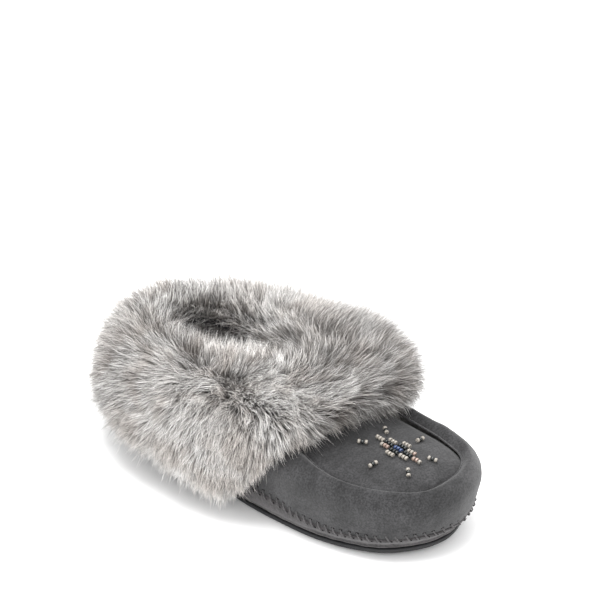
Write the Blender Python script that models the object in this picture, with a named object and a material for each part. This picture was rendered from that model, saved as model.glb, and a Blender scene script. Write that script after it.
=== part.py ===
"""Fluffy house slipper, right foot: a suede moccasin with a beaded vamp and a deep fur cuff."""

import math

import bpy
import bmesh
import numpy as np
from mathutils import Vector
from mathutils.bvhtree import BVHTree

MM = 0.001

# Sole outline (x, y), top edge of the side wall (x, y, z), how far the wall bulges past the
# sole and how far its roll stands above its top edge, in mm: from the toe round the inner
# side of the foot to the heel, and back along the outer side.
LAST = (
    (8, -101.5, 6, -98, 36.5, 10.0, 4.0),
    (24, -96, 21.5, -95.5, 37.5, 10.0, 4.0),
    (35.5, -86, 32.5, -86.5, 39.5, 10.0, 4.0),
    (41.5, -68, 36, -68, 42.5, 8.5, 4.0),
    (43, -46, 37, -46, 44.5, 7.5, 4.0),
    (40, -20, 34, -20, 49.0, 7.0, 3.0),
    (35, 8, 33, 4, 53.5, 7.0, 1.0),
    (31, 38, 32, 34, 53.0, 7.0, 0.0),
    (31, 68, 32, 65, 52.0, 6.0, 0.0),
    (32, 95, 31, 92, 52.0, 5.0, 0.0),
    (27, 118, 25, 112, 53.0, 4.0, 0.0),
    (14, 131, 13, 123, 54.0, 4.0, 0.0),
    (0, 134, 0, 126, 54.0, 4.0, 0.0),
    (-15, 131, -14, 123, 54.0, 4.0, 0.0),
    (-28, 118, -26, 112, 53.0, 4.0, 0.0),
    (-35, 95, -33, 92, 52.0, 5.0, 0.0),
    (-38, 68, -34, 65, 52.0, 6.0, 0.0),
    (-43, 38, -34, 34, 53.0, 6.0, 0.0),
    (-46, 8, -33, 4, 53.5, 6.0, 1.0),
    (-45, -20, -34, -20, 49.0, 6.0, 3.0),
    (-42, -46, -36.5, -46, 43.5, 7.0, 4.0),
    (-36, -68, -34, -66, 40.5, 8.0, 4.0),
    (-26, -86.5, -24.5, -84, 38.5, 9.0, 4.0),
    (-9, -98.5, -10, -96, 36.5, 10.0, 4.0),
)
STATIONS = 60
PROFILE_STEPS = 10

# Heights of the layers under the foot (bottom, top), in mm.
OUTSOLE = (0.0, 4.0)
MIDSOLE = (4.3, 7.2)
BOARD = (7.5, 9.3)
FOOTBED = (9.6, 16.6)
TOE_SPRING = (4.0, -40.0, 62.0)  # rise at the tip, where it starts, length it takes
WALL_FOOT = 7.5

# Layers of the wall, measured from its outer face (outer, inner), in mm.
WRAP = (1.7, 0.4)
SUEDE = (0.0, 2.4)
STIFFENER = (2.9, 3.7)
LINING = (4.8, 6.4)
THROAT_FUR = (7.0, 13.0)

PLUG_BACK = 2.0
PLUG_CROWN = 5.0
PLUG_THICK = 1.6
SEAM_GAP = 1.6
CORD_END = -44.0

# Opening of the collar (x, y), in mm.
COLLAR = (
    (33, 4), (32, 34), (32, 65), (31, 92), (25, 112), (13, 123), (0, 126), (-14, 123),
    (-26, 112), (-33, 92), (-34, 65), (-34, 34), (-33, 4), (-20, -5), (0, -8), (20, -5),
)
COLLAR_STATIONS = 56
CUFF_CENTRE = (0.0, 54.0)
CUFF_HALF = (75.0, 90.0)
CUFF_SQUARENESS = 2.5
CUFF_TOP = (68.0, 78.0)

# Seed beads: 3 mm across, strung in threes.
BEAD_R = 1.5
BEAD_PITCH = 2.15
BEAD_THREAD_R = 0.4
BEAD_SIDES = 8
MOTIF = (5.2, -64.0)
MOTIF_ROWS = (
    ("core", 0.0, 0.0, "blue"),
    ("core_toe", 7.2, 0.0, "dark"),
    ("core_heel", -7.2, 0.0, "dark"),
    ("tip_toe", 14.2, 0.0, "white"),
    ("tip_heel", -14.2, 0.0, "white"),
    ("inner_mid", 0.0, 3.4, "dark"),
    ("inner_toe", 7.4, 3.4, "white"),
    ("inner_heel", -7.4, 3.4, "white"),
    ("outer_mid", 0.0, -3.4, "dark"),
    ("outer_toe", 7.4, -3.4, "white"),
    ("outer_heel", -7.4, -3.4, "white"),
    ("inner_edge", 0.0, 6.8, "white"),
    ("outer_edge", 0.0, -6.8, "white"),
)
RING_HALF = (18.7, 21.0)
RING_ANGLES = (30, 90, 150, 210, 270, 330)

LOOKS = {
    "suede": ((0.075, 0.074, 0.078), 0.95),
    "suede_band": ((0.12, 0.10, 0.10), 0.95),
    "sole_rubber": ((0.03, 0.03, 0.032), 0.7),
    "foam": ((0.10, 0.10, 0.10), 0.9),
    "board": ((0.35, 0.28, 0.2), 0.8),
    "fleece": ((0.55, 0.53, 0.5), 1.0),
    "fur": ((0.36, 0.345, 0.33), 1.0),
    "textile": ((0.2, 0.2, 0.2), 0.95),
    "thread": ((0.25, 0.23, 0.22), 0.8),
    "bead_white": ((0.85, 0.82, 0.8), 0.25),
    "bead_dark": ((0.01, 0.012, 0.012), 0.15),
    "bead_blue": ((0.25, 0.4, 0.75), 0.2),
}


def clear_scene():
    for obj in list(bpy.data.objects):
        bpy.data.objects.remove(obj, do_unlink=True)


def make_looks():
    looks = {}
    for name, (colour, roughness) in LOOKS.items():
        look = bpy.data.materials.new(name)
        look.use_nodes = True
        shader = look.node_tree.nodes["Principled BSDF"]
        shader.inputs["Base Color"].default_value = (*colour, 1.0)
        shader.inputs["Roughness"].default_value = roughness
        shader.inputs["Metallic"].default_value = 0.0
        looks[name] = look
    return looks


def spline(control, places, closed):
    """Catmull-Rom curve through the control rows, read at the given places."""
    count = len(control)
    start = np.floor(places).astype(int)
    if not closed:
        start = np.minimum(start, count - 2)
    f = (places - start).reshape(-1, *[1] * (control.ndim - 1))
    rows = []
    for step in (-1, 0, 1, 2):
        index = start + step
        index = index % count if closed else np.clip(index, 0, count - 1)
        rows.append(control[index])
    a, b, c, d = rows
    return b + 0.5 * f * (c - a + f * (2 * a - 5 * b + 4 * c - d + f * (3 * (b - c) + d - a)))


def outward(curve):
    """Plan normals of a closed curve that runs anticlockwise."""
    along = np.roll(curve, -1, axis=0) - np.roll(curve, 1, axis=0)
    normal = np.stack([along[:, 1], -along[:, 0]], axis=1)
    return normal / np.linalg.norm(normal, axis=1, keepdims=True)


def even_places(control, count):
    """Places that split a closed curve into equal lengths."""
    fine = np.linspace(0, len(control), 2400, endpoint=False)
    points = spline(control, fine, True)
    steps = np.linalg.norm(np.roll(points, -1, axis=0) - points, axis=1)
    reached = np.concatenate([[0], np.cumsum(steps)])
    wanted = np.linspace(0, reached[-1], count, endpoint=False)
    return np.interp(wanted, reached, np.append(fine, len(control)))


class Body:
    """Curves and the outer face of the side wall, shared by the parts."""

    def __init__(self):
        last = np.array(LAST, float)
        places = even_places(last[:, :2], STATIONS)
        rows = spline(last, places, True)
        self.sole = rows[:, :2]
        self.normal = outward(self.sole)
        self.top = rows[:, 2:5]
        self.bulge = rows[:, 5:6]
        self.crest = np.clip(rows[:, 6], 0, 4)
        self.control = self.wall_control()

    def wall_control(self):
        """Six rows of points from the foot of the wall up to its top edge."""
        front = self.crest / 4
        top_z = self.top[:, 2]
        belly = self.sole + self.normal * self.bulge
        inward = belly - self.top[:, :2]
        foot = np.column_stack([self.sole - self.normal, np.full(STATIONS, WALL_FOOT)])
        slim = front[:, None]
        low_plan = self.sole + self.normal * self.bulge * (0.72 - 0.22 * slim)
        low = np.column_stack([low_plan, np.full(STATIONS, 12.5)])
        waist = self.sole + self.normal * self.bulge * (1 - 0.2 * slim)
        middle = np.column_stack([waist, top_z * (0.48 + 0.08 * front)])
        brow = belly - inward * (0.22 - 0.16 * slim)
        shoulder = np.column_stack([brow, top_z * (0.8 + 0.08 * front)])
        rise = top_z + self.crest - (1 - front) * 5
        crest = np.column_stack([self.top[:, :2] + inward * (0.3 + 0.12 * front)[:, None], rise])
        return np.stack([foot, low, middle, shoulder, crest, self.top])

    def face(self, first, last, steps, depth):
        """A band of the wall from one control row to another, set in by depth, (station, step, 3)."""
        places = np.linspace(first, last, steps)
        points = spline(self.control, places, False)
        up = spline(self.control, np.clip(places + 0.02, 0, 5), False)
        up = up - spline(self.control, np.clip(places - 0.02, 0, 5), False)
        around = np.roll(points, -1, axis=1) - np.roll(points, 1, axis=1)
        normal = np.cross(around, up)
        normal /= np.linalg.norm(normal, axis=2, keepdims=True)
        return (points - normal * depth).transpose(1, 0, 2)

    def seam(self, count):
        """Top edge of the wall round the toe, from the outer side to the inner side."""
        order = np.roll(self.top, STATIONS // 2, axis=0)
        front = order[order[:, 1] < PLUG_BACK + 12]
        places = np.linspace(0, len(front) - 1, count)
        return spline(front, places, False)


def add_solid(name, points, faces, look):
    mesh = bpy.data.meshes.new(name)
    mesh.from_pydata((np.asarray(points) * MM).tolist(), [], faces)
    shape = bmesh.new()
    shape.from_mesh(mesh)
    bmesh.ops.remove_doubles(shape, verts=shape.verts, dist=1e-6)
    bmesh.ops.recalc_face_normals(shape, faces=shape.faces)
    shape.to_mesh(mesh)
    shape.free()
    mesh.materials.append(look)
    obj = bpy.data.objects.new(name, mesh)
    bpy.context.collection.objects.link(obj)
    return obj


def sweep(name, sections, ring, look):
    """Solid through closed sections (station, corner, 3), joined end to end or capped."""
    count, corners = sections.shape[:2]
    faces = []
    for i in range(count if ring else count - 1):
        a, b = i * corners, (i + 1) % count * corners
        for j in range(corners):
            k = (j + 1) % corners
            faces.append((a + j, b + j, b + k, a + k))
    if not ring:
        faces.append(tuple(range(corners)))
        faces.append(tuple(range((count - 1) * corners, count * corners)))
    return add_solid(name, sections.reshape(-1, 3), faces, look)


def stack(name, loops, look):
    """Solid through closed loops from the bottom up, with strips across the ends."""
    count, corners = loops.shape[:2]
    faces = []
    for i in range(count - 1):
        for j in range(corners):
            k = (j + 1) % corners
            a, b = i * corners, (i + 1) * corners
            faces.append((a + j, a + k, b + k, b + j))
    top = (count - 1) * corners
    for k in range(corners // 2):
        rung = [k, k + 1, (corners - k - 1) % corners, (corners - k) % corners]
        rung = list(dict.fromkeys(rung))
        faces.append(tuple(rung[::-1]))
        faces.append(tuple(top + j for j in rung))
    return add_solid(name, loops.reshape(-1, 3), faces, look)


def plate(name, body, levels, look):
    """Flat layer under the foot from (inset, height) levels."""
    loops = []
    for inset, height in levels:
        flat = body.sole - body.normal * inset
        loops.append(np.column_stack([flat, np.full(STATIONS, height)]))
    return stack(name, np.stack(loops), look)


def add_sole(body, looks):
    low, high = OUTSOLE
    edge = ((1.2, low), (0.2, low + 0.8), (0.0, high - 1.2), (0.8, high))
    plate("outsole", body, edge, looks["sole_rubber"])
    plate("midsole_foam", body, ((2.0, MIDSOLE[0]), (2.0, MIDSOLE[1])), looks["foam"])
    plate("lasting_board", body, ((3.4, BOARD[0]), (3.4, BOARD[1])), looks["board"])
    low, high = FOOTBED
    pad = ((6.6, low), (6.0, low + 2), (6.0, high - 2.5), (7.4, high - 0.8), (10.5, high))
    plate("footbed", body, pad, looks["fleece"])


def wall_layer(body, first, last, steps, layer):
    outer = body.face(first, last, steps, layer[0])
    inner = body.face(first, last, steps, layer[1])
    return np.concatenate([outer, inner[:, ::-1]], axis=1)


def add_wall(body, looks):
    sections = wall_layer(body, 0, 5, PROFILE_STEPS, SUEDE)
    wall = sweep("upper_wall", sections, True, looks["suede"])
    wrap = tuple(-depth for depth in WRAP)
    sweep("sole_wrap", wall_layer(body, 0.12, 1.25, 3, wrap), True, looks["suede_band"])
    sweep("wall_lining", wall_layer(body, 0.1, 4.45, 8, LINING), True, looks["textile"])
    return wall


def stations_where(body, test):
    """Neighbouring stations that pass the test, in order round the outline."""
    inside = test(body.sole)
    start = np.flatnonzero(inside & ~np.roll(inside, 1))[0]
    return (start + np.arange(inside.sum())) % STATIONS


def add_stiffeners(body, looks):
    heel = stations_where(body, lambda p: p[:, 1] > 72)
    sections = wall_layer(body, 0.4, 4.2, 6, STIFFENER)
    sweep("heel_counter", sections[heel], False, looks["board"])
    toe = stations_where(body, lambda p: p[:, 1] < -62)
    sections = wall_layer(body, 0.6, 3.2, 6, STIFFENER)
    sweep("toe_puff", sections[toe], False, looks["board"])
    back = stations_where(body, lambda p: p[:, 1] > 0)
    sections = wall_layer(body, 2.1, 4.9, 5, THROAT_FUR)
    sweep("throat_fur", sections[back], False, looks["fur"])


class Vamp:
    """Crowned panel inside the toe roll: its half-edges and its height."""

    def __init__(self, body):
        edge = body.seam(240)
        tip = int(np.argmin(edge[:, 1]))
        self.outer = edge[: tip + 1][::-1]
        self.inner = edge[tip:]
        self.tip = edge[tip]

    def edges(self, y):
        left = np.interp(y, self.outer[:, 1], self.outer[:, 0])
        right = np.interp(y, self.inner[:, 1], self.inner[:, 0])
        left_z = np.interp(y, self.outer[:, 1], self.outer[:, 2])
        right_z = np.interp(y, self.inner[:, 1], self.inner[:, 2])
        return left, right, left_z, right_z

    def height(self, x, y):
        left, right, left_z, right_z = self.edges(y)
        across = np.clip((x - left) / np.maximum(right - left, 1e-6), 0, 1)
        from_tip = np.clip((y - self.tip[1]) / 26, 0, 1)
        crown = PLUG_CROWN * (1 - (1 - from_tip) ** 2) * (1 - (2 * across - 1) ** 2)
        return left_z + (right_z - left_z) * across + crown - 0.6

    def panel(self, gap, rows, columns, back):
        """Rows of top-face points from the toe end to the back edge."""
        ease = 1 - np.cos(np.linspace(0.12, 1, rows) * math.pi / 2)
        ys = self.tip[1] + gap + (back - self.tip[1] - gap) * ease
        left, right, _, _ = self.edges(ys)
        across = (1 - np.cos(np.linspace(0, 1, columns) * math.pi)) / 2
        xs = (left + gap)[:, None] + (right - left - 2 * gap)[:, None] * across
        grid_y = np.repeat(ys[:, None], columns, axis=1)
        return np.stack([xs, grid_y, self.height(xs, grid_y)], axis=2)


def add_panel(name, top, thick, look):
    bottom = top - np.array([0, 0, thick])
    sections = np.concatenate([top, bottom[:, ::-1]], axis=1)
    return sweep(name, sections, False, look)


def add_vamp(vamp, looks):
    top = vamp.panel(SEAM_GAP, 16, 13, PLUG_BACK)
    plug = add_panel("vamp_plug", top, PLUG_THICK, looks["suede"])
    lining = vamp.panel(4.0, 13, 9, PLUG_BACK - 2) - np.array([0, 0, PLUG_THICK + 0.6])
    add_panel("vamp_lining", lining, 1.4, looks["textile"])
    return plug


def tube(name, path, radius, sides, ring, look):
    """Round cord along a path in mm."""
    if ring:
        along = np.roll(path, -1, axis=0) - np.roll(path, 1, axis=0)
    else:
        along = np.gradient(path, axis=0)
    along /= np.linalg.norm(along, axis=1, keepdims=True)
    side = np.cross(along, (0.0, 0.0, 1.0))
    side /= np.linalg.norm(side, axis=1, keepdims=True)
    up = np.cross(side, along)
    turn = np.linspace(0, 2 * math.pi, sides, endpoint=False)
    sections = path[:, None] + radius * (
        side[:, None] * np.cos(turn)[:, None] + up[:, None] * np.sin(turn)[:, None]
    )
    return sweep(name, sections, ring, look)


def add_cords(body, looks):
    seam = body.seam(46)
    seam = seam[seam[:, 1] < CORD_END] + np.array([0, 0, 1.7])
    tube("vamp_seam_cord", seam, 0.7, 6, False, looks["thread"])
    lower = body.face(1.1, 1.1, 1, -2.7)[:, 0]
    tube("lace_lower", lower, 0.6, 6, True, looks["thread"])
    upper = body.face(1.62, 1.62, 1, -1.0)[:, 0]
    tube("lace_upper", upper, 0.6, 6, True, looks["thread"])


def tree_of(objects):
    points, faces = [], []
    for obj in objects:
        base = len(points)
        points += [v.co.copy() for v in obj.data.vertices]
        faces += [[base + i for i in p.vertices] for p in obj.data.polygons]
    return BVHTree.FromPolygons(points, faces)


def strike(tree, start, direction):
    """Where a line from start first meets the tree, in mm, or None."""
    hit = tree.ray_cast(Vector(np.asarray(start) * MM), Vector(direction))[0]
    return None if hit is None else np.array(hit) / MM


def add_collar(tree, looks):
    """Leather band over the top edge, all round the opening."""
    control = np.array(COLLAR, float)
    ring = spline(control, even_places(control, COLLAR_STATIONS), True)
    normal = outward(ring)
    heights = []
    for centre, out in zip(ring, normal):
        found = []
        for reach in (-6.0, -4.0, -2.0, 0.0, 1.0):
            start = (*(centre + out * reach), 200.0)
            hit = strike(tree, start, (0, 0, -1))
            if hit is not None and hit[2] > 40:
                found.append(hit[2])
        heights.append(max(found))
    heights = np.array(heights)
    wide = np.max([np.roll(heights, k) for k in (-1, 0, 1)], axis=0)
    corners = ((0.8, 1.0), (0.8, 3.4), (-6.4, 3.4), (-6.4, 1.0))
    sections = [
        np.column_stack([ring + normal * reach, wide + rise]) for reach, rise in corners
    ]
    sections = np.stack(sections, axis=1)
    return sweep("collar_band", sections, True, looks["suede"])


def cuff_section(tree, angle, ring_radius):
    """Closed section of the fur cuff on the ray at this angle, as (radius, height) rows."""
    away = (math.cos(angle), math.sin(angle))
    front = min(max((-away[1] - 0.55) / 0.35, 0), 1)
    front = front * front * (3 - 2 * front)
    power = CUFF_SQUARENESS
    across, ahead = (abs(away[k]) / CUFF_HALF[k] for k in (0, 1))
    radius = (across**power + ahead**power) ** (-1 / power)
    top = CUFF_TOP[0] + (CUFF_TOP[1] - CUFF_TOP[0]) * (1 - away[1]) / 2
    pole = (ring_radius - 2, 28.0)
    lowest = math.radians(-36 + 76 * front)
    under = []
    for tilt in np.linspace(lowest, math.radians(90), 10):
        step = (math.cos(tilt), math.sin(tilt))
        far = (pole[0] + 160 * step[0], pole[1] + 160 * step[1])
        start = (CUFF_CENTRE[0] + away[0] * far[0], CUFF_CENTRE[1] + away[1] * far[0], far[1])
        back = (-away[0] * step[0], -away[1] * step[0], -step[1])
        hit = strike(tree, start, back)
        if hit is None or hit[2] < 8:
            continue
        reach = math.hypot(hit[0] - CUFF_CENTRE[0], hit[1] - CUFF_CENTRE[1])
        clear = 5.4 if hit[2] < 27 else 3.2
        under.append((reach + clear * step[0], hit[2] + clear * step[1]))
    ring_z = under[-1][1]
    under = [point for point in under if point[0] > ring_radius + 4]
    under.append((ring_radius + 3.0, max(ring_z, under[-1][1])))
    low_r, low_z = under[0]
    rise = top - low_z
    hem = 12 - 9 * front
    radius = max(radius, low_r + hem + 3)
    outer = [
        (ring_radius - 12, ring_z + 0.6),
        (ring_radius - 14, ring_z + 0.5 * (top - ring_z)),
        (ring_radius - 10, top - 2.5),
        (ring_radius + 3, top),
        ((radius + ring_radius + 6) / 2, top - 2.5),
        (radius - 6, low_z + 0.78 * rise),
        (radius, low_z + 0.5 * rise),
        (radius - 0.5, low_z + 0.22 * rise),
        (low_r + hem, low_z + 0.6),
    ]
    under = np.array(under)
    steps = np.concatenate([[0], np.cumsum(np.linalg.norm(np.diff(under, axis=0), axis=1))])
    even = np.linspace(0, steps[-1], 11)
    under = np.column_stack([np.interp(even, steps, under[:, k]) for k in (0, 1)])
    return np.concatenate([under, outer])


def add_cuff(tree, looks):
    control = np.array(COLLAR, float)
    ring = spline(control, np.linspace(0, len(control), 800, endpoint=False), True)
    offset = ring - np.array(CUFF_CENTRE)
    bearing = np.arctan2(offset[:, 1], offset[:, 0])
    order = np.argsort(bearing)
    reach = np.linalg.norm(offset, axis=1)
    sections = []
    for angle in np.linspace(-math.pi, math.pi, 64, endpoint=False):
        inner = np.interp(angle, bearing[order], reach[order], period=2 * math.pi)
        flat = cuff_section(tree, angle, inner)
        x = CUFF_CENTRE[0] + math.cos(angle) * flat[:, 0]
        y = CUFF_CENTRE[1] + math.sin(angle) * flat[:, 0]
        sections.append(np.column_stack([x, y, flat[:, 1]]))
    return sweep("fur_cuff", np.stack(sections), True, looks["fur"])


def bead_profile():
    """(along, radius) of three strung beads with thread between them."""
    rows = [(-1.5 * BEAD_PITCH - 0.15, BEAD_THREAD_R)]
    for centre in (-BEAD_PITCH, 0.0, BEAD_PITCH):
        rows += [
            (centre - 0.96, BEAD_THREAD_R),
            (centre - 0.86, BEAD_R * 0.78),
            (centre - 0.3, BEAD_R),
            (centre + 0.3, BEAD_R),
            (centre + 0.86, BEAD_R * 0.78),
            (centre + 0.96, BEAD_THREAD_R),
        ]
    return rows + [(1.5 * BEAD_PITCH + 0.15, BEAD_THREAD_R)]


def add_bead_row(name, vamp, centre, angle, look):
    """Three beads in line on the panel, the line turned by angle from the toe direction."""
    x, y = centre
    aim = np.array([math.sin(angle), -math.cos(angle)])
    ends = [vamp.height(x + aim[0] * s, y + aim[1] * s) for s in (-3.0, 3.0)]
    along = np.array([*(aim * 6.0), ends[1] - ends[0]])
    along /= np.linalg.norm(along)
    side = np.cross(along, (0, 0, 1.0))
    side /= np.linalg.norm(side)
    up = np.cross(side, along)
    reach = 1.5 * BEAD_PITCH
    lift = max(
        vamp.height(x + aim[0] * s, y + aim[1] * s) - np.interp(s, (-3, 3), ends)
        for s in np.linspace(-reach, reach, 7)
    )
    middle = np.array([x, y, (ends[0] + ends[1]) / 2 + lift]) + up * (BEAD_R + 0.55)
    turn = np.linspace(0, 2 * math.pi, BEAD_SIDES, endpoint=False)
    circle = side * np.cos(turn)[:, None] + up * np.sin(turn)[:, None]
    sections = [middle + along * s + circle * r for s, r in bead_profile()]
    sweep(name, np.stack(sections), False, look)


def add_beads(vamp, looks):
    for name, toeward, inward, colour in MOTIF_ROWS:
        centre = (MOTIF[0] + inward, MOTIF[1] - toeward)
        add_bead_row("beads_" + name, vamp, centre, 0.0, looks["bead_" + colour])
    for number, degrees in enumerate(RING_ANGLES, 1):
        angle = math.radians(degrees)
        x = MOTIF[0] - 1.0 + RING_HALF[0] * math.sin(angle)
        y = MOTIF[1] - RING_HALF[1] * math.cos(angle)
        add_bead_row(f"beads_ray_{number}", vamp, (x, y), angle, looks["bead_white"])


def spring_toe():
    """Turn the toe up off the floor, every layer with it."""
    rise, start, length = TOE_SPRING
    for obj in bpy.data.objects:
        for vertex in obj.data.vertices:
            ahead = max(start - vertex.co.y / MM, 0) / length
            vertex.co.z += rise * ahead**1.35 * MM


def centre_on_origin():
    """Hang every part from one empty so the whole sits centred over the origin."""
    parts = [obj for obj in bpy.data.objects if obj.type == "MESH"]
    corners = np.concatenate([[v.co[:] for v in obj.data.vertices] for obj in parts])
    low, high = corners.min(axis=0), corners.max(axis=0)
    holder = bpy.data.objects.new("slipper", None)
    bpy.context.collection.objects.link(holder)
    holder.location = (-(low[0] + high[0]) / 2, -(low[1] + high[1]) / 2, -low[2])
    for obj in parts:
        obj.parent = holder
    bpy.context.view_layer.update()


def main():
    clear_scene()
    looks = make_looks()
    body = Body()
    vamp = Vamp(body)
    add_sole(body, looks)
    wall = add_wall(body, looks)
    add_stiffeners(body, looks)
    plug = add_vamp(vamp, looks)
    add_cords(body, looks)
    solid = [wall, plug, bpy.data.objects["wall_lining"]]
    collar = add_collar(tree_of(solid), looks)
    add_cuff(tree_of([wall, plug, collar]), looks)
    add_beads(vamp, looks)
    spring_toe()
    centre_on_origin()


main()
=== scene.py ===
"""Fluffy house slipper: suede, beadwork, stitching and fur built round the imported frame."""

import functools
import math

import bmesh
import bpy
import numpy as np
from bpy.props import FloatProperty, FloatVectorProperty, IntProperty, PointerProperty
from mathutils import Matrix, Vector, kdtree
from mathutils.bvhtree import BVHTree


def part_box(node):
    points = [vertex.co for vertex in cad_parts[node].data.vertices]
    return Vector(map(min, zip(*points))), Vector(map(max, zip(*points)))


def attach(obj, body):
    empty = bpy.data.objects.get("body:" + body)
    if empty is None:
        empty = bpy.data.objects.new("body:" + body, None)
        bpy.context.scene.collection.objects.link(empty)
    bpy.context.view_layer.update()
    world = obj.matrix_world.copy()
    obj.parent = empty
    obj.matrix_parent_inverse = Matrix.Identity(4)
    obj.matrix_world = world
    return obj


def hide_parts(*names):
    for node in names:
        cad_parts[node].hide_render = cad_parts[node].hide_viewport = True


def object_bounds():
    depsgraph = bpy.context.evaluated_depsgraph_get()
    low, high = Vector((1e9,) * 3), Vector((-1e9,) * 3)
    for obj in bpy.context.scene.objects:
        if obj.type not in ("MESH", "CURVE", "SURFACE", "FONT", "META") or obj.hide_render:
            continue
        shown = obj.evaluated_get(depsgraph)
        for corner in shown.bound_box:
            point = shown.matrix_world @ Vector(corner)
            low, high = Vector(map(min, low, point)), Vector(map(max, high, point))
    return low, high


bl_info = {
    "name": "Fluffy House Slipper",
    "version": (1, 0, 0),
    "blender": (4, 5, 0),
    "location": "View3D > Sidebar > Slipper",
    "description": "Builds a beaded suede slipper with a fur cuff round its packed frame",
    "category": "Add Mesh",
}

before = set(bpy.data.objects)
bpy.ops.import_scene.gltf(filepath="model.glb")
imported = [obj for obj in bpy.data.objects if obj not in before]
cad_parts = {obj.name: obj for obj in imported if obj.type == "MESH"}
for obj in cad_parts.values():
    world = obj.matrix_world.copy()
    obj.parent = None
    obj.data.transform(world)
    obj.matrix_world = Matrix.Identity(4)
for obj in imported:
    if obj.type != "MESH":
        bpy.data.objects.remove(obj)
CAD_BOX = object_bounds()
MM = 0.001
UP = np.array([0, 0, 1.0])
PIECE_FACES = 190000

# The last: sole outline (x, y), top edge of the side wall (x, y, z), how far the wall bulges
# past the sole and how far its roll stands above its top edge, in mm, from the toe round the
# inner side of the foot to the heel, and back along the outer side.
LAST = (
    (8, -101.5, 6, -98, 36.5, 10.0, 4.0),
    (24, -96, 21.5, -95.5, 37.5, 10.0, 4.0),
    (35.5, -86, 32.5, -86.5, 39.5, 10.0, 4.0),
    (41.5, -68, 36, -68, 42.5, 8.5, 4.0),
    (43, -46, 37, -46, 44.5, 7.5, 4.0),
    (40, -20, 34, -20, 49.0, 7.0, 3.0),
    (35, 8, 33, 4, 53.5, 7.0, 1.0),
    (31, 38, 32, 34, 53.0, 7.0, 0.0),
    (31, 68, 32, 65, 52.0, 6.0, 0.0),
    (32, 95, 31, 92, 52.0, 5.0, 0.0),
    (27, 118, 25, 112, 53.0, 4.0, 0.0),
    (14, 131, 13, 123, 54.0, 4.0, 0.0),
    (0, 134, 0, 126, 54.0, 4.0, 0.0),
    (-15, 131, -14, 123, 54.0, 4.0, 0.0),
    (-28, 118, -26, 112, 53.0, 4.0, 0.0),
    (-35, 95, -33, 92, 52.0, 5.0, 0.0),
    (-38, 68, -34, 65, 52.0, 6.0, 0.0),
    (-43, 38, -34, 34, 53.0, 6.0, 0.0),
    (-46, 8, -33, 4, 53.5, 6.0, 1.0),
    (-45, -20, -34, -20, 49.0, 6.0, 3.0),
    (-42, -46, -36.5, -46, 43.5, 7.0, 4.0),
    (-36, -68, -34, -66, 40.5, 8.0, 4.0),
    (-26, -86.5, -24.5, -84, 38.5, 9.0, 4.0),
    (-9, -98.5, -10, -96, 36.5, 10.0, 4.0),
)
STATIONS = 288
WALL_FOOT = 7.5
BAND_FOOT = 5.0

# The toe turns up by this rise, from this y, over this length.
TOE_SPRING = (4.0, -40.0, 62.0)

# The vamp panel: its back edge, how high it crowns and its thickness.
PLUG_BACK = 2.0
PLUG_CROWN = 5.0
PANEL_THICK = 1.3

# The cuff is laid out by angle round CUFF_CENTRE, in degrees from the inner side of the foot with
# the toe at -90, and by share of the way from its hem (0) over the top to its inside foot (1).
# A place round the ring is (angle, how wide it spreads in radians).
CUFF_CENTRE = np.array([0.0, 54.0])
PARTING = -157
FRONT_OVERHANG = 0.4
FULL_SIDE = (-52, 0.45)
FULL_DEPTH = 6.0
FRONT_TUCK = (-97, 0.3)
TUCK_DEPTH = 10.0
TOE_SIDE = (-90, 0.5)
INNER_TOE = (-40, 0.5)
# Where the near side of the cuff is painted paler, as the side the light falls on.
PAINTED_LIT_SIDE = (-145, 0.75)
HEEL_SIDE = (150, 0.7)
# Gaps at the parting, where the hair is shorter and painted darker as the shade in the gap, and how far
# up the section they sit.
GAPS = ((-176, 0.15), (-144, 0.15))
GAP_SHARE = 0.47
STRAYS = 0.08

# How far hair may reach past the frame: a share of its size and a loose hair's length, less a
# little to spare and a ragged part. Hair stays this high above the floor.
PROUD_SHARE = 0.03
LOOSE_HAIR = 10.0
PROUD_SPARE = 0.6
RAGGED = 2.5
FLOOR_GAP = 0.9

# The inside of the opening, from its foot to where the cuff's inner face ends, and the part of
# the footbed that carries pile.
THROAT_FOOT = 30.0
THROAT_RISE = 24.0
THROAT_TOP = 61.0
THROAT_HIDE = 1.4
PILE_FROM = -10.0
PILE_LENGTH = (2.5, 4.5)
PILE_RADIUS = 0.11

# Beadwork: the middle of the motif, then each row of three as (name, how far towards the toe,
# how far towards the inner side, colours), with w cream, p blush, d black and b blue. The six
# rays stand on an oval ring, at angles from the toe.
BEAD_R = 1.3
BEAD_PITCH = 2.1
MOTIF = (5.2, -64.0)
MOTIF_ROWS = (
    ("core", 0.0, 0.0, "bbb"),
    ("core_toe", 7.2, 0.0, "ddd"),
    ("core_heel", -7.2, 0.0, "ddd"),
    ("tip_toe", 14.2, 0.0, "ppw"),
    ("tip_heel", -14.2, 0.0, "www"),
    ("inner_mid", 0.0, 3.4, "ddd"),
    ("inner_toe", 7.4, 3.4, "wwp"),
    ("inner_heel", -7.4, 3.4, "www"),
    ("outer_mid", 0.0, -3.4, "ddd"),
    ("outer_toe", 7.4, -3.4, "www"),
    ("outer_heel", -7.4, -3.4, "wpp"),
    ("inner_edge", 0.0, 6.8, "www"),
    ("outer_edge", 0.0, -6.8, "www"),
)
RING_HALF = (18.7, 21.0)
RING_ANGLES = (30, 90, 150, 210, 270, 330)


def count_property(name, description, default):
    return IntProperty(name=name, description=description, default=default, min=100)


def length_property(name, description, default, low, digits):
    """A length in metres."""
    return FloatProperty(
        name=name, description=description, unit="LENGTH", default=default, min=low, precision=digits
    )


def colour_property(name, description, *colour):
    return FloatVectorProperty(name=name, description=description, subtype="COLOR", default=colour)


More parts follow.
